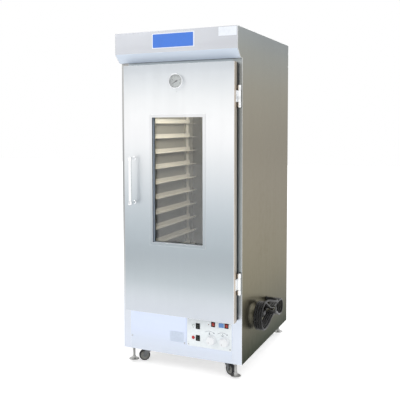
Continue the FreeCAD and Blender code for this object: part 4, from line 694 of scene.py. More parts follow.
def eased(corners, radius, steps=4):
    """An open profile with each inner corner swept by a quadratic curve that starts a radius away."""
    corners = np.asarray(corners, float)
    before, middle, after = corners[:-2], corners[1:-1], corners[2:]
    back, on = before - middle, after - middle
    back_length = np.linalg.norm(back, axis=1, keepdims=True)
    on_length = np.linalg.norm(on, axis=1, keepdims=True)
    reach = np.minimum(radius, 0.45 * np.minimum(back_length, on_length))
    first, last = middle + back / back_length * reach, middle + on / on_length * reach
    share = np.linspace(0, 1, steps)[None, :, None]
    curve = (first[:, None] * (1 - share) ** 2 + 2 * middle[:, None] * share * (1 - share)
             + last[:, None] * share ** 2)
    return np.concatenate([corners[:1], curve.reshape(-1, 2), corners[-1:]])


def placed(local, facing, centre):
    """Points given as (across, up, out) of a facing, moved to a centre."""
    return np.asarray(centre, float) + np.asarray(local, float) @ np.asarray(FACINGS[facing], float)


def turned(profile, facing, centre, segments=48, flutes=None):
    """(radius, out) corners spun about the facing's outward axis: radius times (cos, sin) across it.
    flutes, if given, maps (radius, out, angle) to a changed radius, for grips and ribs."""
    profile = np.asarray(profile, float)
    angle = np.linspace(0, 2 * np.pi, segments, endpoint=False)
    radius, out = np.broadcast_arrays(profile[:, :1], profile[:, 1:2])
    radius, out = np.repeat(radius, segments, 1), np.repeat(out, segments, 1)
    if flutes:
        radius = flutes(radius, out, angle[None, :])
    local = np.stack([radius * np.cos(angle), radius * np.sin(angle), out], axis=-1)
    return placed(local, facing, centre).reshape(-1, 3), grid_faces(len(profile), segments, wrap_columns=True)


def rectangle_rows(width, height, corner_radius, insets, steps=5):
    """Rounded rectangles, one row per inset: each corner is a quarter circle about its own centre."""
    insets = np.asarray(insets, float)[:, None]
    quarter = np.linspace(0, np.pi / 2, steps)
    angle = np.concatenate([quarter + turn * np.pi / 2 for turn in range(4)])[None, :]
    signs = np.repeat([(1, 1), (-1, 1), (-1, -1), (1, -1)], steps, axis=0)
    radius = np.maximum(corner_radius - insets, 1e-5)
    across = signs[None, :, 0] * (width / 2 - insets - radius) + radius * np.cos(angle)
    up = signs[None, :, 1] * (height / 2 - insets - radius) + radius * np.sin(angle)
    return across, up


def stamped(width, height, corner_radius, edge, facing, centre, steps=5):
    """A solid whose edge is (inset, out) corners: one rounded rectangle per corner, and two caps."""
    edge = np.asarray(edge, float)
    across, up = rectangle_rows(width, height, corner_radius, edge[:, 0], steps)
    out = np.repeat(edge[:, 1:2], across.shape[1], 1)
    rows, columns = across.shape
    faces = grid_faces(rows, columns, wrap_columns=True).tolist()
    faces += [list(range(columns)), list(range((rows - 1) * columns, rows * columns))]
    return placed(np.stack([across, up, out], -1), facing, centre).reshape(-1, 3), faces


def slab_edge(thickness, ease, steps=4):
    """The edge of a flat plate whose front rim is rounded by ease."""
    return eased([(0, 0), (0, thickness), (4 * ease, thickness)], ease, steps)


def swept(path, radius, segments=16):
    """A round tube along a path of points; radius is one number or one per point. Each ring lies
    square to the path, its sides set by the path's direction and the upright."""
    path = np.asarray(path, float)
    ahead = np.gradient(path, axis=0)
    ahead /= np.linalg.norm(ahead, axis=1, keepdims=True)
    side = np.cross(ahead, (0, 0, 1.0))
    level = np.linalg.norm(side, axis=1, keepdims=True)
    side = np.where(level > 1e-3, side / np.maximum(level, 1e-9), np.array([1.0, 0, 0]))
    up = np.cross(side, ahead)
    angle = np.linspace(0, 2 * np.pi, segments, endpoint=False)[None, :, None]
    radius = np.broadcast_to(np.asarray(radius, float), (len(path),))[:, None, None]
    rings = path[:, None] + radius * (np.cos(angle) * side[:, None] + np.sin(angle) * up[:, None])
    faces = grid_faces(len(path), segments, wrap_columns=True).tolist()
    faces += [list(range(segments)), list(range((len(path) - 1) * segments, len(path) * segments))]
    return rings.reshape(-1, 3), faces


def middle_of(node):
    """The centre of a node's box."""
    low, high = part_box(node)
    return (np.array(low) + np.array(high)) / 2


# %% [markdown]
# The pull handle is a bright tube whose ends swell into domed caps, on two short posts. Its
# profile is spun about the upright axis. A third turned shape makes each post, with a small foot
# flange where it meets the door.

# %% Door handle
HANDLE_END, HANDLE_TUBE, HANDLE_POST = 9.5 * MM, 6.8 * MM, 5 * MM
low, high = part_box("door_handle")
handle_x, handle_y = (low.x + high.x) / 2, low.y + HANDLE_END
length = high.z - low.z
half_profile = [(0, 0), (7 * MM, 0), (HANDLE_END, 2.5 * MM), (HANDLE_END, 7 * MM), (HANDLE_TUBE, 17 * MM)]
profile = half_profile + [(radius, length - out) for radius, out in half_profile[::-1]]
parts = [turned(eased(profile, 3 * MM, 6), "up", (handle_x, handle_y, low.z), 40)]
post_length = DOOR_Y - handle_y
post = [(0, 0), (HANDLE_POST, 0), (HANDLE_POST, post_length - 4 * MM), (8 * MM, post_length - 3 * MM),
        (8 * MM, post_length), (0, post_length)]
for post_z in (low.z + 9 * MM, high.z - 9 * MM):
    parts.append(turned(eased(post, 1.2 * MM), "back", (handle_x, handle_y, post_z), 28))
handle = piece_from("door_pull", *joined(parts), chrome)
dressed(handle, "door", "chrome", "door_handle")
print("handle length", round(length, 3))

# %% [markdown]
# The dial thermometer has a drawn case with a rolled bezel, a printed white face under a flat
# lens, and a short needle. The print is a ring of strokes, longer at each fifth, and plain
# numbers for the degrees.

# %% Thermometer case
low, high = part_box("gauge_case")
gauge_centre = np.array([(low.x + high.x) / 2, DOOR_Y, (low.z + high.z) / 2])
GAUGE_RADIUS, GAUGE_DEPTH = (high.x - low.x) / 2, DOOR_Y - low.y
bezel_inside = GAUGE_RADIUS - 3.4 * MM
case = [(GAUGE_RADIUS, 0), (GAUGE_RADIUS, GAUGE_DEPTH - 3 * MM), (GAUGE_RADIUS - 1.2 * MM, GAUGE_DEPTH),
        (bezel_inside, GAUGE_DEPTH), (bezel_inside, GAUGE_DEPTH - 2.4 * MM),
        (GAUGE_RADIUS - 2.6 * MM, GAUGE_DEPTH - 2.6 * MM), (GAUGE_RADIUS - 2.6 * MM, 3 * MM), (0, 3 * MM)]
gauge_case = piece_from("thermometer_case", *turned(eased(case, 0.9 * MM), "front", gauge_centre, 72), chrome)
dressed(gauge_case, "door", "chrome", "gauge_case")

# %% Thermometer print
DIAL_OUT = DOOR_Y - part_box("gauge_dial")[0].y
dial_face_out = 3.8 * MM + 0.05 * MM
SCALE_START, SCALE_SWEEP, STROKES = math.radians(210), math.radians(240), 51


def strokes(count, inside, outside, width, start, sweep, out):
    """Thin radial bars: each is a quad from the inner to the outer radius at its own angle."""
    angle = start - sweep * np.arange(count) / (count - 1)
    reach = np.array([inside, outside])
    along = np.stack([np.cos(angle), np.sin(angle)], -1)
    across = np.stack([-np.sin(angle), np.cos(angle)], -1) * width / 2
    corners = [reach[0] * along - across, reach[1] * along - across, reach[1] * along + across,
               reach[0] * along + across]
    flat = np.stack(corners, 1)
    local = np.concatenate([flat, np.full((count, 4, 1), out)], -1)
    return local.reshape(-1, 3), np.arange(count * 4).reshape(count, 4)


def number_mesh(text, height, x, z, facing_out, finish, name):
    """Generic digits as a flat mesh that faces the front, centred on a spot."""
    curve = bpy.data.curves.new(name, "FONT")
    curve.body, curve.size, curve.align_x, curve.align_y = text, height, "CENTER", "CENTER"
    words = bpy.data.objects.new(name, curve)
    bpy.context.scene.collection.objects.link(words)
    bpy.context.view_layer.update()
    mesh = bpy.data.meshes.new_from_object(words)
    bpy.data.objects.remove(words)
    mesh.transform(Matrix.Translation((x, facing_out, z)) @ Matrix.Rotation(math.radians(90), 4, "X"))
    made = bpy.data.objects.new(name, mesh)
    bpy.context.scene.collection.objects.link(made)
    mesh.materials.clear()
    mesh.materials.append(finish)
    return made


parts = [strokes(STROKES, 24 * MM, 26 * MM, 0.35 * MM, SCALE_START, SCALE_SWEEP, dial_face_out),
         strokes(11, 22.5 * MM, 26 * MM, 0.6 * MM, SCALE_START, SCALE_SWEEP, dial_face_out)]
points, faces = joined([(placed(points, "front", gauge_centre), faces) for points, faces in parts])
ticks = piece_from("thermometer_ticks", points, faces, needle_paint)
dressed(ticks, "door", "dial_face")
for number in range(0, 11, 2):
    angle = SCALE_START - SCALE_SWEEP * number / 10
    spot = gauge_centre + np.array([math.cos(angle), 0, math.sin(angle)]) * 18.5 * MM
    digits = number_mesh(str(number * 10), 5 * MM, spot[0], spot[2], DOOR_Y - dial_face_out, needle_paint,
                         f"thermometer_number_{number}")
    dressed(digits, "door", "dial_face")

# %% [markdown]
# Each knob is a moulded cap on a wide skirt. The cap's side has shallow finger flutes: its radius
# dips by a cosine of the angle, more on the side wall than at the top, so the face stays round.

# %% Knobs
FLUTES = 18


def finger_flutes(radius, out, angle):
    """Radius less a dip that follows a cosine of the angle, only between the skirt and the top rim."""
    wall = np.clip((out - 7 * MM) / (2 * MM), 0, 1) * np.clip((22 * MM - out) / (1.5 * MM), 0, 1)
    return radius - 0.5 * MM * wall * (radius > 17 * MM) * (0.5 + 0.5 * np.cos(FLUTES * angle))


for name in ("temperature_knob", "humidity_knob"):
    low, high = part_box(name)
    centre = np.array([(low.x + high.x) / 2, PLATE_Y - 0.6 * MM, (low.z + high.z) / 2])
    reach = (high.x - low.x) / 2
    profile = [(0, -12 * MM), (3 * MM, -12 * MM), (3 * MM, 0), (reach, 0), (reach, 5 * MM), (19.5 * MM, 6.5 * MM),
               (19 * MM, 12 * MM), (18.6 * MM, 20.5 * MM), (16.5 * MM, 22 * MM), (15 * MM, 21.4 * MM), (0, 21.4 * MM)]
    knob = piece_from(f"{name}_cap", *turned(eased(profile, 1.2 * MM, 5), "front", centre, 144, finger_flutes), knob_plastic)
    body = name.replace("knob", "dial")
    dressed(knob, body, "knob_plastic", name)
    dot_spot = centre + np.array([-7 * MM, 0, -8 * MM])
    dot_profile = [(0, 21.5 * MM), (1.7 * MM, 21.5 * MM), (1.7 * MM, 21.0 * MM)]
    dot = piece_from(f"{name}_mark", *turned(dot_profile, "front", dot_spot, 20), case_plastic)
    dressed(dot, body, "knob_plastic")

# %% [markdown]
# A caster wheel is a hard hub with a rubber tyre round it. The tyre's profile is nearly a half
# circle, worn flat where it rolls, and the hub has a raised boss that turns on the axle.

# %% Caster wheels and levelling feet
def turned_about(profile, axis, centre, segments=56):
    """(radius, out) corners spun about any direction through a centre."""
    axis = np.asarray(axis, float)
    across = np.cross(axis, (0, 0, 1.0))
    across /= np.linalg.norm(across)
    up = np.cross(across, axis)
    angle = np.linspace(0, 2 * np.pi, segments, endpoint=False)
    profile = np.asarray(profile, float)
    rings = (profile[:, None, :1] * (np.cos(angle)[None, :, None] * across + np.sin(angle)[None, :, None] * up)
             + profile[:, None, 1:2] * axis + np.asarray(centre))
    return rings.reshape(-1, 3), grid_faces(len(profile), segments, wrap_columns=True)


REST_TURN = {"front_right": -33, "front_left": 213, "rear_right": 33, "rear_left": 147}
WHEEL, HALF_WIDTH = 25 * MM, 9 * MM
for name, turn in REST_TURN.items():
    centre = middle_of(f"{name}_caster_wheel")
    axle = (-math.sin(math.radians(turn)), math.cos(math.radians(turn)), 0)
    tyre = [(19 * MM, -6.5 * MM), (20.5 * MM, -HALF_WIDTH), (23 * MM, -HALF_WIDTH), (WHEEL, -6 * MM), (WHEEL, 6 * MM),
            (23 * MM, HALF_WIDTH), (20.5 * MM, HALF_WIDTH), (19 * MM, 6.5 * MM)]
    hub = [(3.05 * MM, -9.5 * MM), (8 * MM, -9.5 * MM), (8 * MM, -7.2 * MM), (10 * MM, -6 * MM), (17 * MM, -5.6 * MM),
           (19.4 * MM, -7.6 * MM), (19.6 * MM, 0), (19.4 * MM, 7.6 * MM), (17 * MM, 5.6 * MM), (10 * MM, 6 * MM),
           (8 * MM, 7.2 * MM), (8 * MM, 9.5 * MM), (3.05 * MM, 9.5 * MM)]
    tread = piece_from(f"{name}_tyre", *turned_about(eased(tyre, 1.8 * MM), axle, centre), tread_rubber)
    dressed(tread, f"{name}_wheel", "tread_rubber", f"{name}_caster_wheel")
    core = piece_from(f"{name}_hub", *turned_about(eased(hub, 0.7 * MM, 3), axle, centre, 40), case_plastic)
    dressed(core, f"{name}_wheel", "tread_rubber")
    softened(f"{name}_caster_fork", f"{name}_fork", fork_steel, "fork_steel", 0.4 * MM)
    low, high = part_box(f"{name}_levelling_foot")
    spot = ((low.x + high.x) / 2, (low.y + high.y) / 2, low.z)
    disc = [(0, 0), (22, 0), (23, 1.2), (22.6, 3.2), (19, 4), (11, 4.6), (0, 4.8)]
    nut = [(0, 4), (8.9, 4), (8.9, 13.4), (8.2, 14), (0, 14)]
    rise = np.arange(14, (high.z - low.z) / MM, 0.5)
    thread = np.column_stack([5.7 + 0.3 * np.cos(np.pi * rise), rise])
    foot_parts = [turned(eased(np.array(disc) * MM, 1.0 * MM), "up", spot, 56), turned(np.array(nut) * MM, "up", spot, 6),
                  turned(np.vstack([thread, [(0, rise[-1])]]) * MM, "up", spot, 20)]
    screw_foot = piece_from(f"{name}_screw_foot", *joined(foot_parts), foot_steel)
    dressed(screw_foot, f"{name}_foot", "foot_steel", f"{name}_levelling_foot")
softened("caster_tops", "cabinet", foot_steel, "foot_steel", 0.4 * MM)

# %% [markdown]
# Bare plates take the place of the lettered ones: a blue nameplate with a white border and a small
# white sticker on the hood, and a grey label on the access cover. Each is a stamped plate.

# %% Bare plates
HOOD_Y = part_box("hood_front")[0].y
name_blue = moulded("name_blue", (0.055, 0.20, 0.72), 0.3)
label_white = moulded("label_white", (0.86, 0.9, 0.96), 0.45)
label_grey = moulded("label_grey", (0.66, 0.74, 0.88), 0.5)
PLATES = [
    ("name_border", "cabinet", label_white, (-100.5, 93), (1322, 1384.5), HOOD_Y, 0.5, 2, "white_plate"),
    ("name_field", "cabinet", name_blue, (-96.5, 88), (1325, 1381), HOOD_Y - 0.5 * MM, 0.3, 1.5, "white_plate"),
    ("hood_sticker", "cabinet", label_white, (198, 275), (1357, 1392), HOOD_Y, 0.25, 0.8, "white_plate"),
    ("cover_label", "cabinet", label_grey, (-50, 16), (60, 105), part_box("access_cover")[0].y, 0.4, 1.5, "white_plate"),
]
for name, body, finish, across, up, face_y, thickness, radius, slot in PLATES:
    width, height = (across[1] - across[0]) * MM, (up[1] - up[0]) * MM
    centre = (sum(across) / 2 * MM, face_y, sum(up) / 2 * MM + BASE_Z)
    edge = slab_edge(thickness * MM, min(0.2, thickness / 2) * MM)
    dressed(piece_from(name, *stamped(width, height, radius * MM, edge, "front", centre), finish), body, slot)
print(len(PLATES), "bare plates")

# %% [markdown]
# Each hinge is a bright lift-off pattern: two ears with domed ends on the cabinet, and between them
# the knuckle that turns with the door. Ears and knuckle are spun about the pin; the pads behind
# them are stamped, with rounded corners, and dark: painted shade round the bright hinge.

# %% Hinges
EAR, KNUCKLE, EAR_IN = 7.5 * MM, 7 * MM, 24.5 * MM


def ear_profile(half):
    """The upper ear as (radius, height) corners: flat at the knuckle and domed towards its end."""
    return [(0, EAR_IN), (EAR, EAR_IN), (EAR, half - 4 * MM), (6.2 * MM, half - 1.2 * MM), (3.5 * MM, half), (0, half)]


low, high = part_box("hinge_body_leaves")
hinge_half = 46.75 * MM
hinge_x, hinge_y = (low.x + high.x) / 2, low.y + EAR
leaf_low, leaf_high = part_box("hinge_door_leaves")
HINGES = {"lower": low.z + hinge_half, "upper": high.z - hinge_half}
body_parts, door_parts, plate_parts = [], [], []
for hinge_z in HINGES.values():
    for facing in ("up", "down"):
        ear = eased(ear_profile(hinge_half), 1.0 * MM, 5)
        body_parts.append(turned(ear, facing, (hinge_x, hinge_y, hinge_z), 36))
        side = 1 if facing == "up" else -1
        ear_middle = hinge_z + side * (EAR_IN + hinge_half) / 2
        ear_edge = [(0, 0), (0, 10 * MM), (1 * MM, 10.5 * MM)]
        ear_spot = (hinge_x, FRONT_Y, ear_middle)
        plate_parts.append(stamped(14 * MM, hinge_half - EAR_IN, 3 * MM, ear_edge, "front", ear_spot))
    plate_edge = slab_edge(3 * MM, 0.6 * MM)
    plate_parts.append(stamped(15 * MM, 2 * hinge_half, 4 * MM, plate_edge, "front", (hinge_x, FRONT_Y, hinge_z)))
    barrel = [(0, -24 * MM), (KNUCKLE, -24 * MM), (KNUCKLE, 24 * MM), (0, 24 * MM)]
    door_parts.append(turned(eased(barrel, 0.7 * MM), "up", (hinge_x, hinge_y, hinge_z), 36))
    leaf_y = (leaf_low.y + hinge_y + 2 * MM) / 2
    leaf_spot = (leaf_low.x, leaf_y, hinge_z)
    door_parts.append(stamped(27 * MM, 48 * MM, 3 * MM, slab_edge(2.5 * MM, 0.5 * MM), "right", leaf_spot))
    for up in (-14 * MM, 14 * MM):
        head = [(3.4 * MM, 2.2 * MM), (3.4 * MM, 2.9 * MM), (2.4 * MM, 3.4 * MM), (0, 3.6 * MM)]
        spot = (leaf_low.x, leaf_y - 5 * MM, hinge_z + up)
        door_parts.append(turned(eased(head, 0.4 * MM), "right", spot, 20))
dressed(piece_from("hinge_ears", *joined(body_parts), chrome), "cabinet", "chrome", "hinge_body_leaves")
dressed(piece_from("hinge_plates", *joined(plate_parts), hinge_pad_painted_shade), "cabinet", "chrome")
dressed(piece_from("hinge_knuckles", *joined(door_parts), chrome), "door", "chrome", "hinge_door_leaves")
print("hinges at", [round(value, 3) for value in HINGES.values()])

# %% [markdown]
# The door seal is a moulded ring of magnetic gasket. Its cross-section is a closed row of corners
# with two folds, carried round a rectangle; each corner of the section gives one rounded rectangle.

# %% Door seal
def ring_of(section, width, height, corner_radius, facing, centre, steps=4):
    """A closed section of (inset, out) corners carried round a rounded rectangle: a grid that wraps both ways."""
    section = np.asarray(section, float)
    across, up = rectangle_rows(width, height, corner_radius, section[:, 0], steps)
    out = np.repeat(section[:, 1:2], across.shape[1], 1)
    points = placed(np.stack([across, up, out], -1), facing, centre).reshape(-1, 3)
    return points, grid_faces(len(section), across.shape[1], wrap_rows=True, wrap_columns=True)


low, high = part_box("door_gasket")
depth = high.y - low.y
folds = [(0, 0), (16, 0), (16, 4), (12.5, 6.5), (16, 9), (16, 13.5), (14, 15.7), (2, 15.7), (0, 13.5), (0, 9),
         (2.6, 6.5), (0, 4)]
section = np.array(folds) * MM * (1, depth / (15.7 * MM))
seal_centre = ((low.x + high.x) / 2, low.y, (low.z + high.z) / 2)
seal = piece_from("door_seal", *ring_of(section, high.x - low.x, high.z - low.z, 5 * MM, "back", seal_centre), gasket_rubber)
dressed(seal, "door", "gasket_rubber", "door_gasket")

# %% [markdown]
# The rockers keep the solid's form with broken edges and get the plain I and O of any switch, laid
# on the two slopes of the tipped face. A slope is found by turning the solid's own face line about
# the pivot. The lamps are a domed red lens and a square blue one, and the print beside them is
# flat ribbons of paint: an arc with an arrowhead over each knob, and small plain signs.

# %% Rockers and their marks
TILT, FACE, VALLEY, PIVOT = math.radians(10), 4.5 * MM, 1.2 * MM, 3 * MM
mark_pale = moulded("mark_pale", (0.30, 0.36, 0.28), 0.4)
mark_orange = moulded("mark_orange", (0.95, 0.22, 0.06), 0.4)
print_grey = moulded("print_grey", (0.22, 0.25, 0.29), 0.5)
print_green = moulded("print_green", (0.36, 0.44, 0.39), 0.5)
print_brown = moulded("print_brown", (0.30, 0.18, 0.10), 0.5)


def on_slope(flat, half, sign):
    """Flat (across, up) points laid on a rocker's upper (sign 1) or lower (-1) slope about its pivot:
    y = -(face - valley) - valley * |share|, z = share * half, then both turned by the tilt."""
    flat = np.asarray(flat, float)
    share = sign * 0.52 + flat[:, 1] / half
    y, z = -(FACE - VALLEY) - VALLEY * np.abs(share) - 0.06 * MM, share * half
    return np.stack([flat[:, 0], y * math.cos(TILT) - z * math.sin(TILT), y * math.sin(TILT) + z * math.cos(TILT)], -1)


def ribbon(points, width, closed=False):
    """A flat strip along (across, up) points: each point gives two, half a width to each side."""
    points = np.asarray(points, float)
    ahead = np.roll(points, -1, 0) - np.roll(points, 1, 0) if closed else np.gradient(points, axis=0)
    ahead /= np.linalg.norm(ahead, axis=1, keepdims=True)
    normal = np.stack([-ahead[:, 1], ahead[:, 0]], -1) * width / 2
    rows = np.stack([points - normal, points + normal], 1)
    return rows.reshape(-1, 2), grid_faces(len(points), 2, wrap_rows=closed)


def arc_points(radius, start, end, steps=18, centre=(0, 0)):
    """Points on a circle: the centre plus radius times (cos, sin), angles in degrees."""
    angle = np.radians(np.linspace(start, end, steps))
    return np.stack([centre[0] + radius * np.cos(angle), centre[1] + radius * np.sin(angle)], -1)


ROCKERS = {"light": (black_plastic, mark_pale), "power": (black_plastic, mark_pale),
           "heat": (red_plastic, mark_orange), "humidity": (red_plastic, mark_orange)}
for name, (finish, mark) in ROCKERS.items():
    slot = "black_plastic" if finish == black_plastic else "red_plastic"
    softened(f"{name}_rocker", f"{name}_switch", finish, slot, 0.5 * MM)
    low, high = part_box(f"{name}_rocker")
    half = (high.z - low.z) / 2
    pivot = np.array([(low.x + high.x) / 2, PLATE_Y + 1.5 * MM + PIVOT - 1.5 * MM, (low.z + high.z) / 2])
    line, line_faces = ribbon([(0, -1.9 * MM), (0, 0), (0, 1.9 * MM)], 1.1 * MM)
    ring, ring_faces = ribbon(arc_points(1.6 * MM, 0, 345, 20), 0.7 * MM, closed=True)
    marks = [(on_slope(line, half, 1) + pivot, line_faces), (on_slope(ring, half, -1) + pivot, ring_faces)]
    dressed(piece_from(f"{name}_marks", *joined(marks), mark), f"{name}_switch", slot)

# %% Lamps and print
low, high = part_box("indicator_lamps")
dome_spot = (low.x + 7 * MM, PLATE_Y, low.z + 7 * MM)
dome = [(0, -18), (5, -18), (5, 0), (7, 0), (7, 1.4), (5.8, 3.2), (3.2, 3.9), (0, 4)]
lens = piece_from("red_lens", *turned(eased(np.array(dome) * MM, 0.8 * MM, 5), "front", dome_spot, 36), lamp_red)
dressed(lens, "cabinet", "lamp_plastic", "indicator_lamps")
window_spot = (high.x - 11.35 * MM, PLATE_Y, high.z - 9.3 * MM)
window_parts = [stamped(22.7 * MM, 18.6 * MM, 1.2 * MM, slab_edge(1.5 * MM, 0.5 * MM), "front", window_spot),
                stamped(17.7 * MM, 13.6 * MM, 0.6 * MM, [(0, 0), (0, 18 * MM)], "back", window_spot)]
dressed(piece_from("blue_lens", *joined(window_parts), lamp_blue), "cabinet", "lamp_plastic")
PRINT_Y = PLATE_Y - 0.08 * MM


def printed(name, parts, centre, finish):
    """Flat (points, faces) in millimetres laid on the control plate about a centre."""
    flat = [(np.column_stack([points, np.zeros(len(points))]) * MM, faces) for points, faces in parts]
    points, faces = joined(flat)
    spot = (centre[0], PRINT_Y, centre[1])
    return dressed(piece_from(name, placed(points, "front", spot), faces, finish), "cabinet", "white_plate")


ARROW = [(0, 2.9), (0, -2.9), (6, 0)]
SWEEP_RADIUS, SWEEP_START, SWEEP_END, SIGN_LEFT, SIGN_UP = 36, 126, 58, 10.5, 26
arrow_turn = math.radians(SWEEP_END - 90)
turn = np.array([(math.cos(arrow_turn), math.sin(arrow_turn)), (-math.sin(arrow_turn), math.cos(arrow_turn))])
stem = ribbon([(0, SIGN_UP - 2), (0, SIGN_UP + 2), (0, SIGN_UP + 5)], 3.0)
bulb = ribbon(arc_points(1.9, 0, 340, 14, (0, SIGN_UP - 3)), 2.4, closed=True)
drop = np.concatenate([arc_points(3.2, -220, 40, 14, (0, SIGN_UP - 2)), [(0, SIGN_UP + 5.5)]])
SIGNS = {"temperature_knob": [stem, bulb], "humidity_knob": [ribbon(drop, 1.6, closed=True)]}
for name, sign in SIGNS.items():
    centre = middle_of(name)
    spot = (centre[0] - SIGN_LEFT * MM, centre[2])
    arrow = np.array(ARROW) @ turn + arc_points(SWEEP_RADIUS, SWEEP_END, SWEEP_END, 1)
    sweep = ribbon(arc_points(SWEEP_RADIUS, SWEEP_START, SWEEP_END), 1.2)
    printed(f"{name}_arc", [sweep, (arrow, [(0, 1, 2)])], spot, print_grey)
    printed(f"{name}_sign", sign, spot, print_grey)
light = middle_of("light_rocker")
globe = ribbon(arc_points(4.6, -60, 240, 20, (0, 2)), 1.5)
beams = [ribbon(np.outer((7.2, 8.2, 9.4), (math.cos(turn), math.sin(turn))), 1.2) for turn in np.radians((20, 55, 90, 125, 160))]
socket = ribbon([(-2.2, -5), (0, -5), (2.2, -5)], 2.4)
printed("light_sign", [globe, socket] + beams, (light[0] - 21 * MM, light[2] - 2 * MM), print_green)
heat = middle_of("heat_rocker")
printed("heat_sign", [ribbon(arc_points(1.2, 0, 330, 12), 2.0, closed=True)], (heat[0] - 20.5 * MM, heat[2] - 3.2 * MM), print_brown)
print("prints on", round(PLATE_Y, 4))

# %% [markdown]
# Every sheet is held by pan-head screws. A head is a low dome with a cross recess; the recess is
# shown by painted shade, two dark bars a hair above the dome, crossed and each turned a little
# differently, as screws stop where they are tight.

# %% Screws
cover_low, cover_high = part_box("access_cover")
plate_low, plate_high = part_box("control_plate")
# Painted shade for the screw recesses.
recess_painted_shade = moulded("recess_painted_shade", (0.05, 0.05, 0.05), 0.5)
SCREW_SPOTS = []
for corner_low, corner_high in ((cover_low, cover_high), (plate_low, plate_high)):
    for x in (corner_low.x + 7 * MM, corner_high.x - 7 * MM):
        SCREW_SPOTS += [("front", (x, PLATE_Y, z)) for z in (corner_low.z + 7 * MM, corner_high.z - 7 * MM)]
for drop in (41 * MM, 106 * MM):
    SCREW_SPOTS += [("right", (SIDE_X, REAR_Y - 10 * MM, TOP_Z - drop)), ("left", (-SIDE_X, REAR_Y - 10 * MM, TOP_Z - drop))]
for x in (-268.5 * MM, 268.5 * MM):
    SCREW_SPOTS += [("back", (x, REAR_Y, z)) for z in np.linspace(BASE_Z + 40 * MM, TOP_Z - 40 * MM, 4)]
head_profile = eased(np.array([(3.65, 0), (3.65, 1.2), (2.9, 2.2), (0, 2.4)]) * MM, 0.6 * MM)
heads, recesses = [], []
for number, (facing, spot) in enumerate(SCREW_SPOTS):
    heads.append(turned(head_profile, facing, spot, 20))
    for angle in (37 * number, 37 * number + 90):
        ends = np.outer((-1, 1), (math.cos(math.radians(angle)), math.sin(math.radians(angle)))) * 1.9
        bar, bar_faces = ribbon(ends, 0.7)
        recesses.append((placed(np.column_stack([bar, np.full(len(bar), 2.45)]) * MM, facing, spot), bar_faces))
dressed(piece_from("screw_heads", *joined(heads), screw_steel), "cabinet", "screw_steel", "panel_screws")
dressed(piece_from("screw_recesses", *joined(recesses), recess_painted_shade), "cabinet", "screw_steel")
stud = turned(head_profile * 0.8, "front", gauge_centre + np.array([-0.5, 0, -43]) * MM, 18)
dressed(piece_from("thermometer_stud", *stud, screw_steel), "door", "chrome")
print(len(SCREW_SPOTS), "screws")

# %% [markdown]
# The cable enters through a six-sided gland and a tapered, ribbed relief that lets it bend without
# a kink. The plug is moulded round the cable's other end, and a strap with a buckle draws the
# loops together at the waist.

# %% Gland, plug and tie
RELIEF, RIBS = 35 * MM, 6
out = np.linspace(5 * MM, RELIEF, RIBS * 8)
share = (out - out[0]) / (out[-1] - out[0])
ribbed = 8.2 * MM - 3.0 * MM * share - 0.55 * MM * (0.5 - 0.5 * np.cos(2 * np.pi * RIBS * share)) * (1 - share)
relief = np.column_stack([np.append(ribbed, 0), np.append(out, out[-1])])
nut = np.array([(0, 0), (10.6, 0), (10.6, 4), (9.6, 5), (0, 5)]) * MM
inner_nut = np.array([(0, -13), (10.6, -13), (10.6, -3), (0, -3)]) * MM
neck = np.array([(0, -3), (7.9, -3), (7.9, 0), (0, 0)]) * MM
parts = [turned(relief, "right", gland_spot, 36), turned(nut, "right", gland_spot, 6),
         turned(inner_nut, "right", gland_spot, 6), turned(neck, "right", gland_spot, 24)]
dressed(piece_from("gland_and_relief", *joined(parts), cable_rubber), "cabinet", "cable_rubber", "cord_gland")

low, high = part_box("power_plug")
PLUG_TAPER, PLUG_GRIP = 20 * MM, 38 * MM
plug_spot = ((low.x + high.x) / 2, high.y, (low.z + high.z) / 2)


def grip_form(radius, out, angle):
    """A squarish grip: the radius times 1 less a share of cos(4 angle), and shallow ribs along it."""
    on_grip = np.clip((out - PLUG_TAPER) / (4 * MM), 0, 1)
    ribs = 0.4 * MM * np.sin(2 * np.pi * out / (5 * MM)) ** 2 * on_grip * (radius > 9 * MM)
    return radius * (1 - 0.06 * on_grip * (1 + np.cos(4 * angle)) / 2) - ribs


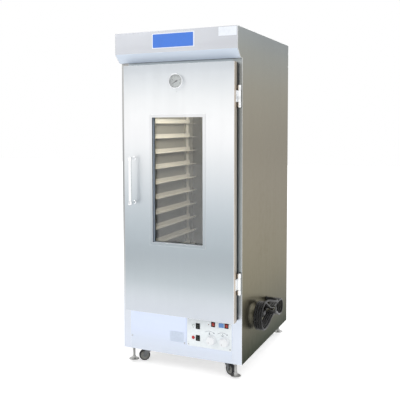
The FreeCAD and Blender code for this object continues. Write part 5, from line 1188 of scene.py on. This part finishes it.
grip_outs = np.linspace(PLUG_TAPER + 3 * MM, PLUG_TAPER + PLUG_GRIP - 3 * MM, 24)
grip = [(0, 0), (6 * MM, 0), (6.6 * MM, 9 * MM), (8.2 * MM, 15 * MM), (13 * MM, PLUG_TAPER)]
grip += [(14.8 * MM, value) for value in grip_outs]
grip += [(13 * MM, PLUG_TAPER + PLUG_GRIP), (0, PLUG_TAPER + PLUG_GRIP)]
plug = turned(np.array(grip), "front", plug_spot, 48, grip_form)
dressed(piece_from("plug_grip", *plug, cable_rubber), "cabinet", "cable_rubber", "power_plug")
PIN_LENGTH = 17.6 * MM
pins = []
for across, up in ((7.9, 4), (-7.9, 4), (0, -5)):
    pin_spot = (plug_spot[0] + across * MM, plug_spot[1] - PLUG_TAPER - PLUG_GRIP, plug_spot[2] + up * MM)
    pin_edge = eased([(0, -2 * MM), (0, PIN_LENGTH), (0.5 * MM, PIN_LENGTH + 0.4 * MM)], 0.3 * MM)
    pins.append(stamped(1.6 * MM, 6.3 * MM, 0.4 * MM, pin_edge, "front", pin_spot, 3))
dressed(piece_from("plug_pins", *joined(pins), chrome), "cabinet", "cable_rubber")

low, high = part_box("cord_tie")
strap_centre = ((low.x + high.x) / 2, (low.y + high.y) / 2, (low.z + high.z) / 2)
strap = np.array([(0, -7), (0, 7), (1.5, 7), (1.5, -7)]) * MM
strap_size = (high.x - low.x, high.z - low.z)
band = ring_of(strap, *strap_size, 4 * MM, "back", strap_centre, 6)
buckle = stamped(11 * MM, 13 * MM, 1.5 * MM, slab_edge(1.2 * MM, 0.5 * MM), "right", (high.x - 1.25 * MM, strap_centre[1], strap_centre[2] + 3 * MM))
tie = piece_from("strap", *joined([band, buckle]), black_plastic)
dressed(tie, "cabinet", "cable_rubber", "cord_tie")
print("relief ends", round(SIDE_X + RELIEF, 4))

# %% [markdown]
# Inside, two sheathed elements bend round under the tray space: one below the water pan and one
# round it. Each is a tube swept along a hairpin, two legs and half a circle, that ends in a
# plate on the back wall.

# %% Heater elements
floor_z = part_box("water_pan")[0].z
wall_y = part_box("heating_elements")[1].y
TUBE = 4 * MM


def hairpin(width, front):
    """A path of two straight legs joined by half a circle whose front reaches y = front."""
    radius = width / 2
    centre_y = front + radius
    bend = arc_points(radius, 180, 360, 32, (0, centre_y))
    legs = [[(-radius, wall_y)], bend, [(radius, wall_y)]]
    flat = np.concatenate([np.asarray(leg, float) for leg in legs])
    return np.column_stack([flat, np.full(len(flat), floor_z + 9 * MM)])


parts = []
for width, front in ((120 * MM, FRONT_Y + 200 * MM), (360 * MM, FRONT_Y + 60 * MM)):
    parts.append(swept(hairpin(width, front), TUBE, 14))
    for side in (-1, 1):
        plate_spot = (side * width / 2, wall_y, floor_z + 9 * MM)
        parts.append(stamped(36 * MM, 18 * MM, 3 * MM, [(0, 0), (0, 1.2 * MM), (0.3 * MM, 1.5 * MM)], "front", plate_spot))
dressed(piece_from("heater_loops", *joined(parts), heater_steel), "cabinet", "heater_steel", "heating_elements")
